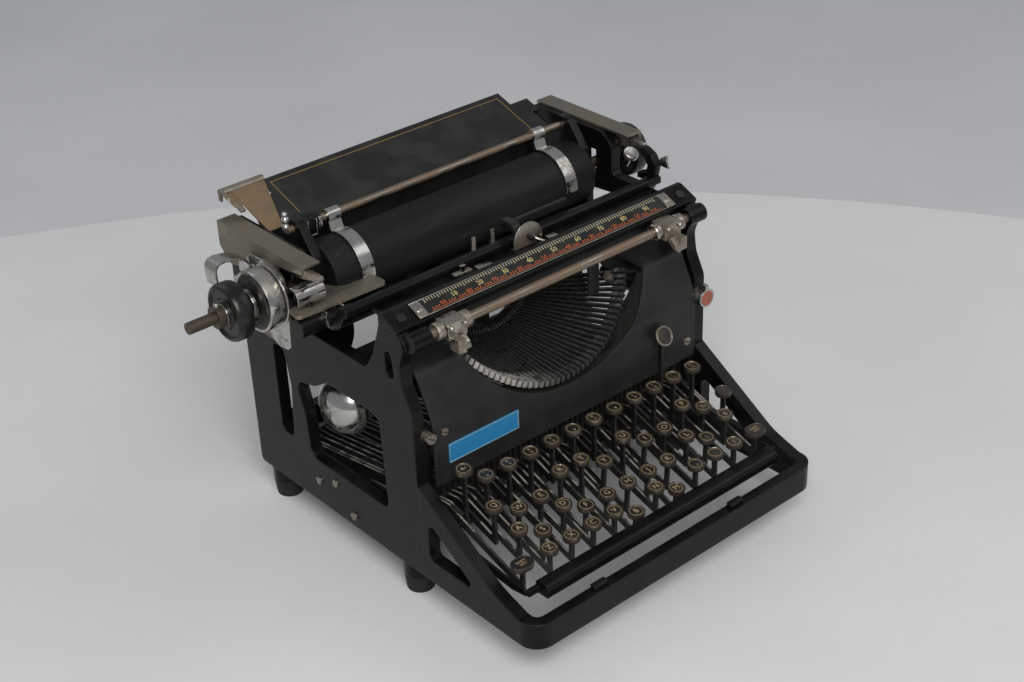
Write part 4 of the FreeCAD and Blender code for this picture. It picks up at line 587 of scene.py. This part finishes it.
keyboard = {
    "firstKey": -92.8,
    "pitch": 19.05,
    "rowSteps": (0, -0.5, -0.25, 0.25),  # in key pitches
    "frontRow": 34.1,
    "rowPitch": 18.0,
    "frontTop": 67.5,
    "rowRise": 10.43,
    "legends": (("\"2", "#3", "$4", "%5", "_6", "&7", "'8", "(9", ")0", "*-", "¾¼"),
                "QWERTYUIOP½", "ASDFGHJKL;¢", "ZXCVBNM,./"),
    "heldDown": {1: (1, 2, 5, 7, 8, 10), 2: (1, 3, 4, 5, 6, 7, 9), 3: (4, 6)},
    "working": {(0, 5): "type_key_a", (3, 5): "type_key_b"},
    # node, X, rows behind the front row, millimetres further back, rises above the front row, words
    "others": (("backspace_key", -108.3, 3, 3, 4, "←"), ("margin_release_key", 107.225, 1.8, 0, 1.6, "")),
    "shiftKeys": (-111.0, 105.0),
    "shiftWords": "SHIFT\nKEY",
    "fulcrum": (268.0, 44.0),
    "drop": 10.0,
    "stretch": {"shift_keys": 2.0},
    "ring": ((5.75, -2.6), (5.95, -2.4), (6.1, -0.6), (6.08, 0.3), (5.9, 0.6), (5.62, 0.64), (5.4, 0.42),
             (5.3, 0.1)),
    "glass": ((5.36, 0.06), (5.3, 0.2), (2.8, 0.34), (0, 0.38)),
    "cardLine": ((4.62, 0.15), (4.66, 0.3), (4.36, 0.32), (4.3, 0.15), (4.62, 0.15)),
    "steps": 28,
    # letter size and place on the card: one letter, an upper and a lower sign, or a word
    "letter": (6.2, 0, 0.34),
    "upperSign": (3.2, 1.9, 0.32),
    "lowerSign": (3.9, -1.5, 0.32),
    "word": (2.9, 0, 0.34),
    "wordSpacing": 1.05,
}


def drawTop(work, profile, steps, stretch):
    # a round top; with a stretch its halves are drawn apart
    addTurning(work, profile, steps=steps)
    if stretch:
        for vert in work.verts:
            if abs(vert.co.x) > 0.01:
                vert.co.x += math.copysign(stretch, vert.co.x)


def keyPlacing(k, x, y, top, down):
    # a key that stays down has turned about the fulcrum
    placing = Matrix.Translation((x, y, top))
    if down:
        pivot = Vector((0, *k["fulcrum"]))
        reach = math.hypot(k["fulcrum"][0] - y, top - k["fulcrum"][1])
        turn = Matrix.Rotation(k["drop"] / reach, 4, "X")
        placing = Matrix.Translation(pivot) @ turn @ Matrix.Translation(-pivot) @ placing
    return placing


def addLegend(work, placing, words, k):
    def write(text, spot, spacing=1.0):
        size, along, lift = spot
        addWords(work, text, size, placing @ Matrix.Translation((0, along, lift)), spacing)

    if len(words) == 1:
        write(words, k["letter"])
    elif len(words) == 2:
        write(words[0], k["upperSign"])
        write(words[1], k["lowerSign"])
    else:
        write(words, k["word"], k["wordSpacing"])


def keyTops(k):
    tops = {}
    for row, legends in enumerate(k["legends"]):
        back = len(k["legends"]) - 1 - row
        for index, words in enumerate(legends):
            down = index in k["heldDown"].get(row, ())
            node = k["working"].get((row, index), "keys_held_down" if down else f"key_row_{row + 1}")
            x = k["firstKey"] + (k["rowSteps"][row] + index) * k["pitch"]
            y = k["frontRow"] + back * k["rowPitch"]
            top = k["frontTop"] + back * k["rowRise"]
            tops.setdefault(node, []).append((keyPlacing(k, x, y, top, down), words))
    for node, x, rows, further, rises, words in k["others"]:
        y = k["frontRow"] + rows * k["rowPitch"] + further
        top = k["frontTop"] + rises * k["rowRise"]
        tops.setdefault(node, []).append((keyPlacing(k, x, y, top, False), words))
    tops["tabulator_key"] = [(buttonPlacing(button), "")]
    tops["shift_keys"] = [(keyPlacing(k, x, k["frontRow"], k["frontTop"], False), k["shiftWords"])
                          for x in k["shiftKeys"]]

    for node, places in tops.items():
        rings, cards, legends = bmesh.new(), bmesh.new(), bmesh.new()
        stretch = k["stretch"].get(node, 0)
        for placing, words in places:
            addPlaced(rings, placing, drawTop, k["ring"], k["steps"], stretch)
            addPlaced(cards, placing, drawTop, k["glass"], k["steps"], stretch)
            if words and not stretch:
                addPlaced(legends, placing, addTurning, k["cardLine"], steps=k["steps"])
            if words:
                addLegend(legends, placing, words, k)
        addPiece(node + "_rings", node + "_body", ringNickel, rings)
        addPiece(node + "_cards", node + "_body", keyFace, cards)
        if legends.verts:
            addPiece(node + "_legends", node + "_body", legendCream, legends, smooth=0)
        else:
            legends.free()


buttonRim(button)
keyTops(keyboard)
print("key tops made")


# scale: black field, marks and numbers

scale = {
    "tilt": 24.47,
    "width": 13.0,
    "wall": 1.2,
    "border": 0.7,
    "borderRise": (-0.2, 0.35),
    "fieldRise": (-0.1, 0.12),
    "endPlate": 7.5,
    "pitch": 2.117,
    "firstMark": 11.0,
    "markCount": 96,
    "mark": {"half": 0.28, "low": 9.8, "high": 11.9, "rise": 0.2},
    "fifthMark": {"half": 0.28, "low": 9.0, "high": 11.9, "rise": 0.2},
    "redDot": {"half": 0.45, "low": 2.7, "high": 4.0, "rise": 0.2, "steps": (1, 2, 3, 7, 8, 9)},
    "redLine": {"low": 1.6, "high": 2.0, "rise": 0.18},
    # before is how many marks a number stands to the left of its ten
    "tens": {"size": 5.0, "height": 6.6, "before": 0},
    "redTens": {"size": 4.6, "height": 3.9, "before": 5},
    "numberLift": 0.16,
    "screw": ((2.3, 0.2), (2.3, 0.7), (1.8, 1.0), (0, 1.05)),
}


def scaleMarks(s):
    # drawn flat, its lower left corner at 0, then stood on the tilted plate
    rim, field, cream, yellow, red = (bmesh.new() for part in range(5))
    width, top, border, end = s["width"], s["wall"], s["border"], s["endPlate"]
    least, most = nodeBox("scale_plate")
    length = most.x - least.x

    def addMark(work, left, right, m):
        addBlock(work, (left, m["low"], top), (right, m["high"], top + m["rise"]))

    below, above = top + s["borderRise"][0], top + s["borderRise"][1]
    for low, high in borderStrips((0, 0), (length, width), border, end):
        addBlock(rim, (*low, below), (*high, above), corner=0.15, segments=1)
    addBlock(field, (end, border, top + s["fieldRise"][0]),
             (length - end, width - border, top + s["fieldRise"][1]))
    places = [s["firstMark"] + index * s["pitch"] for index in range(s["markCount"])]
    for index, u in enumerate(places):
        mark = s["mark"] if index % 5 else s["fifthMark"]
        addMark(cream, u - mark["half"], u + mark["half"], mark)
        dot = s["redDot"]
        if index % 10 in dot["steps"]:
            addMark(red, u - dot["half"], u + dot["half"], dot)
    addMark(red, places[0], places[-1], s["redLine"])
    for ten in range(10, 100, 10):
        for work, words, number in ((yellow, s["tens"], ten), (red, s["redTens"], 100 - ten)):
            spot = (places[ten] - words["before"] * s["pitch"], words["height"], top + s["numberLift"])
            addWords(work, str(number), words["size"], Matrix.Translation(spot))
    for u in (end / 2, length - end / 2):
        addTurning(rim, s["screw"], (u, width / 2, top))

    tilt = math.radians(s["tilt"])
    corner = (least.x, least.y + top * math.sin(tilt), least.z)
    placing = Matrix.Translation(corner) @ Matrix.Rotation(tilt, 4, "X")
    for work in (rim, field, cream, yellow, red):
        work.transform(placing)
    addPiece("scale_rim", "frame", nickel, rim)
    addPiece("scale_field", "frame", satin, field)
    addPiece("scale_marks", "frame", markCream, cream, smooth=0)
    addPiece("scale_numbers", "frame", markYellow, yellow, smooth=0)
    addPiece("scale_red_numbers", "frame", markRed, red, smooth=0)


scaleMarks(scale)
print("scale marked")


# blue plate and the paper table's line

plate = {"border": 0.9, "raised": 0.3, "sunk": 0.1}


def plateBorder(p):
    work = bmesh.new()
    least, most = nodeBox("badge_plate")
    front, back = least.y - p["raised"], least.y + p["sunk"]
    strips = borderStrips((least.x, least.z), (most.x, most.z), p["border"], p["border"])
    for (left, low), (right, high) in strips:
        addBlock(work, (left, front, low), (right, back, high), corner=0.1, segments=1)
    addPiece("plate_border", "frame", badgeEdge, work)


plateBorder(plate)

tableLine = {
    "corner": (-111.0, 241.0, 227.5),
    "slope": 19.13,
    "width": 210.0,
    "run": 51.86,
    "inset": 4.5,
    "line": 0.6,
    "rise": (2.01, 2.06),
}


def paperTableLine(t):
    work = bmesh.new()
    inset = t["inset"]
    far = (t["width"] - inset, t["run"] - inset)
    for low, high in borderStrips((inset, inset), far, t["line"], t["line"]):
        addBlock(work, (*low, t["rise"][0]), (*high, t["rise"][1]))
    work.transform(Matrix.Translation(t["corner"]) @ Matrix.Rotation(math.radians(t["slope"]), 4, "X"))
    addPiece("paper_table_line", "shift_carrier", goldLine, work, smooth=0)


paperTableLine(tableLine)
print("plate border and table line made")


# ends of the platen

axle = (sum(nodeBox("platen_shaft"), Vector()) / 2).yz  # Y and Z of the platen's axis
knob = {
    "profile": ((4.0, 0), (9.5, 0), (10.5, 1.4), (15.6, 1.6), (17.0, 0.1), (18.8, 0.8), (19.6, 2.8),
                (19.6, 9.4), (18.8, 11.4), (16.8, 12.2), (4.0, 12.2), (4.0, 0)),
    "wide": 12.2,
    "left": -180.6,
    "right": 154.0,
    "steps": 56,
}


def platenKnobs(k):
    work = bmesh.new()
    profile = [(radius, -height) for radius, height in k["profile"]]
    for face, side in ((k["left"] - k["wide"], -1), (k["right"] + k["wide"], 1)):
        # the dished side faces outward
        addTurning(work, profile, (face, *axle), Matrix.Rotation(math.pi / 2 * side, 4, "Y"), k["steps"])
    piece = addPiece("knobs_turned", "platen_unit", hardRubber, work)
    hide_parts("platen_knobs")


platenKnobs(knob)

ratchet = {
    "cup": ((18.4, 0.4), (18.9, 0), (20.0, 0.1), (20.6, 0.5), (20.8, 1.2), (20.8, 10.6), (20.2, 11.2),
            (18.4, 11.2), (18.4, 0.4)),
    "rim": ((12.6, 12.4), (21.0, 12.4), (21.5, 12.8), (21.5, 13.6), (21.0, 14.0), (12.6, 14.0),
            (12.6, 12.4)),
    "disc": ((4.0, -5.4), (9.6, -5.4), (10.2, -4.8), (10.2, -2.6), (9.6, -2.0), (4.0, -2.0), (4.0, -5.4)),
    "dark": ((4.2, 0.2), (11.5, 0.2), (12.0, -0.9), (17.0, -0.9), (17.8, 0), (18.4, 0.6), (18.4, 11.2),
             (20.1, 11.2), (20.1, 12.4), (4.2, 12.4), (4.2, 0.2)),
    "face": -170.8,
    "plate": ((200.0, 200.4), (201.5, 172.0), (205.5, 168.6), (214.0, 167.6), (222.0, 170.5), (236.0, 184.5),
              (242.8, 196.5), (242.8, 222.0), (238.5, 226.8), (224.0, 227.4), (204.0, 222.5)),
    "plateSide": (-156.6, -155.95),
    "rivet": ((2.0, 0), (1.9, -0.5), (1.2, -0.9), (0, -1.0)),
    "rivets": ((206.4, 174.0), (209.5, 190.0), (236.0, 218.0)),
}


def ratchetTrim(r):
    cup, dark, plate = bmesh.new(), bmesh.new(), bmesh.new()
    for profile in (r["cup"], r["rim"], r["disc"]):
        addTurning(cup, profile, (r["face"], *axle), "X", steps=48)
    addPiece("ratchet_cup", "platen_unit", chrome, cup)
    addTurning(dark, r["dark"], (r["face"], *axle), "X", steps=40)
    addPiece("ratchet_inside", "platen_unit", darkSteel, dark)
    addPlate(plate, r["plate"], "X", *r["plateSide"], corner=0.15)
    for y, z in r["rivets"]:
        addTurning(plate, r["rivet"], (r["plateSide"][0], y, z), "X", steps=16)
    addPiece("ratchet_plate", "carriage", chrome, plate)


ratchetTrim(ratchet)

shaftEnd = {
    "washer": ((4.05, 0), (7.2, 0), (7.6, 0.4), (7.6, 1.0), (7.2, 1.4), (4.05, 1.4), (4.05, 0)),
    "washerPlace": -194.2,
    "screw": ((1.9, 0), (1.9, 1.6), (1.5, 2.1), (0, 2.1)),
    "screwPlace": (-197.0, 218.0, 211.9),
    "rightCap": ((4.05, 0), (6.5, 0), (6.5, 1.8), (5.6, 2.6), (4.05, 2.6), (4.05, 0)),
    "rightPlace": 165.2,
}


def shaftTrim(e):
    work = bmesh.new()
    addTurning(work, e["washer"], (e["washerPlace"], *axle), "X", steps=36)
    addTurning(work, e["screw"], e["screwPlace"], steps=20)
    addTurning(work, e["rightCap"], (e["rightPlace"], *axle), "X", steps=36)
    addPiece("shaft_trim", "platen_unit", chrome, work)


shaftTrim(shaftEnd)
print("platen ends dressed")


# brackets and springs at the carriage's left end

tableBracket = {
    "pin": (-131.0, 232.5),
    "pinHeight": (235.0, 247.0),
    "pinRadius": 1.3,
    "balls": ((238.4, 2.7), (243.6, 2.9), (247.3, 2.1)),
    "blocks": (((-119.6, 225.6, 228.6), (-106.4, 229.6, 240.6)),
               ((-119.6, 229.0, 238.8), (-106.4, 240.0, 241.4))),
    "caps": (((-118.9, 225.0, 229.6), (-118.1, 225.8, 240.6)),
             ((-112.3, 225.0, 229.2), (-111.3, 225.8, 240.4)),
             ((-118.9, 225.0, 229.2), (-111.3, 225.8, 230.0)),
             ((-110.0, 225.2, 233.0), (-107.2, 226.0, 240.9))),
}


def tableBrackets(b):
    bright, black = bmesh.new(), bmesh.new()
    for height, radius in b["balls"]:
        addTurning(bright, ballProfile(radius, 10), (*b["pin"], height), steps=20)
    addTube(bright, [(*b["pin"], height) for height in b["pinHeight"]], b["pinRadius"])
    for low, high in b["caps"]:
        addBlock(bright, low, high, corner=0.35)
    addPiece("table_bracket_trim", "shift_carrier", chrome, bright)
    for low, high in b["blocks"]:
        addBlock(black, low, high, corner=0.8)
    addPiece("table_bracket", "shift_carrier", enamel, black)


tableBrackets(tableBracket)

leftSprings = {
    "loop": {"middle": (-138.0, 200.4), "reach": (7.4, 11.6), "wall": 1.0, "from": 160, "to": 380,
             "count": 30, "side": (174.0, 183.0)},
    "saddle": {"middle": (192.4, 211.6), "reach": (7.6, 7.6), "wall": 1.1, "from": 80, "to": 215,
               "count": 20, "side": (-157.5, -136.5)},
    "saddleLip": ((-157.5, 187.0, 218.3), (-135.5, 193.6, 219.4)),
    "hook": [(-184.6, 213.5), (-185.2, 221.0), (-184.8, 226.5), (-182.6, 229.4), (-178.0, 230.2),
             (-168.0, 228.6), (-161.5, 225.4), (-158.6, 220.6), (-159.0, 212.0)],
    "hookMiddle": (-172.0, 218.0),
    "hookWall": 1.3,
    "hookSide": (234.5, 247.5),
    "hookArm": ((-166.5, 236.0, 209.5), (-155.9, 246.0, 211.7)),
}


def springs(e):
    loop, saddle, hook = bmesh.new(), bmesh.new(), bmesh.new()
    addArcStrip(loop, e["loop"], "Y")
    addPiece("lever_spring", "carriage", chrome, loop)
    addArcStrip(saddle, e["saddle"], "X")
    addBlock(saddle, *e["saddleLip"], corner=0.4)
    addPiece("lever_saddle", "carriage", chrome, saddle)
    inner = []
    for spot in e["hook"]:
        inward = (Vector(e["hookMiddle"]) - Vector(spot)).normalized() * e["hookWall"]
        inner.append(tuple(Vector(spot) + inward))
    addStrip(hook, inner, e["hook"], "Y", *e["hookSide"])
    addBlock(hook, *e["hookArm"], corner=0.5)
    addPiece("release_hook", "carriage", chrome, hook)


springs(leftSprings)

guideLip = {
    "roll": ((287.2, 247.3), (288.2, 248.9), (290.0, 249.4), (292.0, 249.2), (293.2, 247.9), (293.4, 245.6),
             (292.9, 245.4), (292.6, 247.5), (291.6, 248.5), (290.0, 248.7), (288.6, 248.2), (287.8, 246.9)),
    "rollSide": (-142.5, -109.2),
    "cheek": ((279.5, 243.4), (281.5, 246.4), (288.2, 248.9), (292.0, 249.2), (293.3, 247.5),
              (293.3, 240.5), (290.1, 240.5), (290.1, 247.0)),
    "cheekSide": (-142.5, -140.9),
    "slope": 19.13,
    "foot": (0, 241.0, 229.5),
    "fold": ((-142.0, 35.5, 0.35), (-133.5, 50.6, 1.25)),
    "lug": ((-141.6, 29.0, 0.35), (-137.4, 37.0, 2.6)),
}


def guideTrim(g):
    # the fold and the lug lie on the sloping guide
    bright, copper = bmesh.new(), bmesh.new()
    placing = Matrix.Translation(g["foot"]) @ Matrix.Rotation(math.radians(g["slope"]), 4, "X")
    addPlate(bright, g["roll"], "X", *g["rollSide"])
    addPlate(bright, g["cheek"], "X", *g["cheekSide"], corner=0.3)
    addPlaced(bright, placing, addBlock, *g["lug"], corner=0.8)
    addPiece("side_guide_roll", "paper_side_guide_body", nickel, bright)
    addPlaced(copper, placing, addBlock, *g["fold"], corner=0.2)
    addPiece("side_guide_fold", "paper_side_guide_body", copperTone, copper)


guideTrim(guideLip)
print("left end dressed")


# the carriage's right end

rightEnd = {
    "horn": ((172, 207.5), (161, 208.5), (155, 214), (153.6, 222), (158, 229), (166, 232.4), (172, 231.4),
             (171, 227), (164, 225.5), (160.5, 220), (162.5, 214.5), (172, 212)),
    "hornSide": (126.5, 132.5),
    "button": ((0.01, -3.5), (4.6, -3.5), (5.6, -2.2), (5.6, 0.4), (5.0, 1.0), (4.2, 0.7), (0, 0.5)),
    "buttonPlace": (126.0, 177.0, 225.0),
    "buttonLean": 32,
    "stem": ((126.0, 178.6, 222.4), (126.0, 183.0, 214.0)),
    "stemRadius": 2.0,
    "fin": ((157, 219.5), (147.2, 219.5), (150.0, 224.5), (149.0, 229.5), (156, 225.0)),
    "finSide": (133.2, 134.6),
}


def rightBrackets(e):
    black, bright = bmesh.new(), bmesh.new()
    addPlate(black, e["horn"], "X", *e["hornSide"], corner=0.8)
    addPiece("right_horn", "carriage", enamel, black)
    lean = Matrix.Rotation(math.radians(e["buttonLean"]), 4, "X")
    addTurning(bright, e["button"], e["buttonPlace"], lean)
    addTube(bright, e["stem"], e["stemRadius"])
    addPlate(bright, e["fin"], "X", *e["finSide"], corner=0.3)
    addPiece("right_button", "carriage", chrome, bright)


rightBrackets(rightEnd)


# middle of the carriage's front

centre = {
    "disc": ((0, 0), (11.4, 0), (12.4, 0.5), (12.4, 1.2), (11.8, 1.6), (0, 1.6)),
    "discPlace": (0.5, 146.3, 212.8),
    "railTop": 206.8,
    "pointer": ((3, 145.6, 214.5), (6, 142.0, 212.5), (11, 138.5, 209.5)),
    "pointerRadius": 1.2,
    "clips": (((-62, 146.5, 207.5), (-48, 151.5, 209.3)), ((-44, 141.5, 206.8), (-32, 150.5, 208.4)),
              ((-57, 147.0, 209.3), (-53, 149.5, 214.0)), ((16, 143.5, 206.8), (24, 148.0, 209.6))),
    "strap": ((46.5, 138.0, 154.5), (56.5, 140.2, 203.2)),
    "tube": ((66, 141, 163), (78, 139, 154), (91, 136.5, 144)),
    "tubeRadius": 3.2,
    "tray": ((-120.6, 201.5, 169.9), (108.6, 240.0, 170.9)),
}


def centreTrim(c):
    bright, strap, tube, tray = (bmesh.new() for part in range(4))
    addTurning(bright, c["disc"], c["discPlace"], "Y", steps=48)
    # the disc ends flat on the rail
    cut = bmesh.ops.bisect_plane(bright, geom=bright.verts[:] + bright.edges[:] + bright.faces[:],
                                 plane_co=(0, 0, c["railTop"]), plane_no=(0, 0, -1), clear_outer=True)
    rimEdges = [part for part in cut["geom_cut"] if isinstance(part, bmesh.types.BMEdge)]
    bmesh.ops.contextual_create(bright, geom=rimEdges)
    addTube(bright, c["pointer"], c["pointerRadius"])
    for low, high in c["clips"]:
        addBlock(bright, low, high, corner=0.4)
    addPiece("guide_trim", "frame", nickel, bright)
    addBlock(strap, *c["strap"], corner=0.6)
    addPiece("guide_strap", "frame", satin, strap)
    addTube(tube, c["tube"], c["tubeRadius"], steps=18)
    addPiece("ribbon_tube", "frame", nickel, tube)
    # hangs under the feed rollers
    addBlock(tray, *c["tray"], corner=0.3)
    addPiece("paper_tray", "shift_carrier", satin, tray)


centreTrim(centre)
print("middle and right end dressed")


# margin stops: thumb pieces, pins and sleeves on the rod

stops = {
    "places": {"margin_stop_left": -95.0, "margin_stop_right": 95.0},
    "thumb": ((104.0, 196.6), (99.5, 193.2), (97.8, 189.4), (99.2, 187.6), (101.6, 189.0), (106.5, 193.4)),
    "thumbHalf": 4.5,
    "pins": (((-5.5, 104.6, 203.0), 1.9), ((5.5, 104.6, 203.0), 1.9), ((0, 100.8, 187.2), 2.4)),
    "sleeve": ((3.3, 0), (5.4, 0), (5.9, 0.6), (5.9, 5.4), (5.4, 6.0), (3.3, 6.0), (3.3, 0)),
    "sleeves": (-13.6, 7.6),
}


def stopTrim(s):
    least, most = nodeBox("margin_rod")
    rod = (least + most) / 2
    for node, x in s["places"].items():
        work = bmesh.new()
        addPlate(work, s["thumb"], "X", x - s["thumbHalf"], x + s["thumbHalf"], corner=0.4)
        for (offset, y, z), radius in s["pins"]:
            addTurning(work, ballProfile(radius, 8), (x + offset, y, z), steps=16)
        for start in s["sleeves"]:
            addTurning(work, s["sleeve"], (x + start, rod.y, rod.z), "X", steps=28)
        addPiece(node + "_trim", node + "_body", nickel, work)


stopTrim(stops)


# screw slots, the selector's face and small brackets on the front bar

smallParts = {
    "slots": ((-122.8, 102.4, 132.5, 2.9), (-110.5, 104.7, 131.5, 2.0), (110.5, 104.7, 106.5, 2.5)),
    "slotDepth": (-0.12, 0.2),
    "slotHalf": 0.35,
    "slotLean": 0.5,
    "selectorFace": ((0, 0), (5.6, 0), (5.6, 0.3), (0, 0.3)),
    "selectorPlace": (126.0, 100.95, 137.0),
    "barBrackets": (((-79, 2.4, 44.8), (-67, 7.0, 49.0)), ((47, 2.4, 44.8), (59, 7.0, 49.0))),
}


def smallTrim(p):
    dark, face, black = bmesh.new(), bmesh.new(), bmesh.new()
    front, back = p["slotDepth"]
    for x, y, z, half in p["slots"]:
        placing = Matrix.Translation((x, y, z)) @ Matrix.Rotation(p["slotLean"], 4, "Y")
        addPlaced(dark, placing, addBlock, (-half, front, -p["slotHalf"]), (half, back, p["slotHalf"]))
    addPiece("screw_slots", "frame", darkSteel, dark)
    addTurning(face, p["selectorFace"], p["selectorPlace"], "Y")
    addPiece("selector_face", "ribbon_selector_body", selectorRed, face)
    for low, high in p["barBrackets"]:
        addBlock(black, low, high, corner=0.8)
    addPiece("bar_brackets", "frame", enamel, black)


smallTrim(smallParts)
print("small parts made")


# table and room

grounds = {
    "table": {"centre": (-649.4, -496.0, 0), "radius": 1436.8, "finish": tableCloth},
    "room_floor": {"centre": (0, 0, -60), "radius": 9000, "finish": roomGrey},
}


def makeGround(name, g):
    work = bmesh.new()
    bmesh.ops.create_circle(work, cap_ends=True, radius=g["radius"], segments=160)
    work.transform(toRow @ Matrix.Translation(g["centre"]))
    mesh = bpy.data.meshes.new(name)
    work.to_mesh(mesh)
    work.free()
    mesh.materials.append(g["finish"])
    ground = bpy.data.objects.new(name, mesh)
    bpy.context.scene.collection.objects.link(ground)


for groundName, settings in grounds.items():
    makeGround(groundName, settings)
print("table and room made")
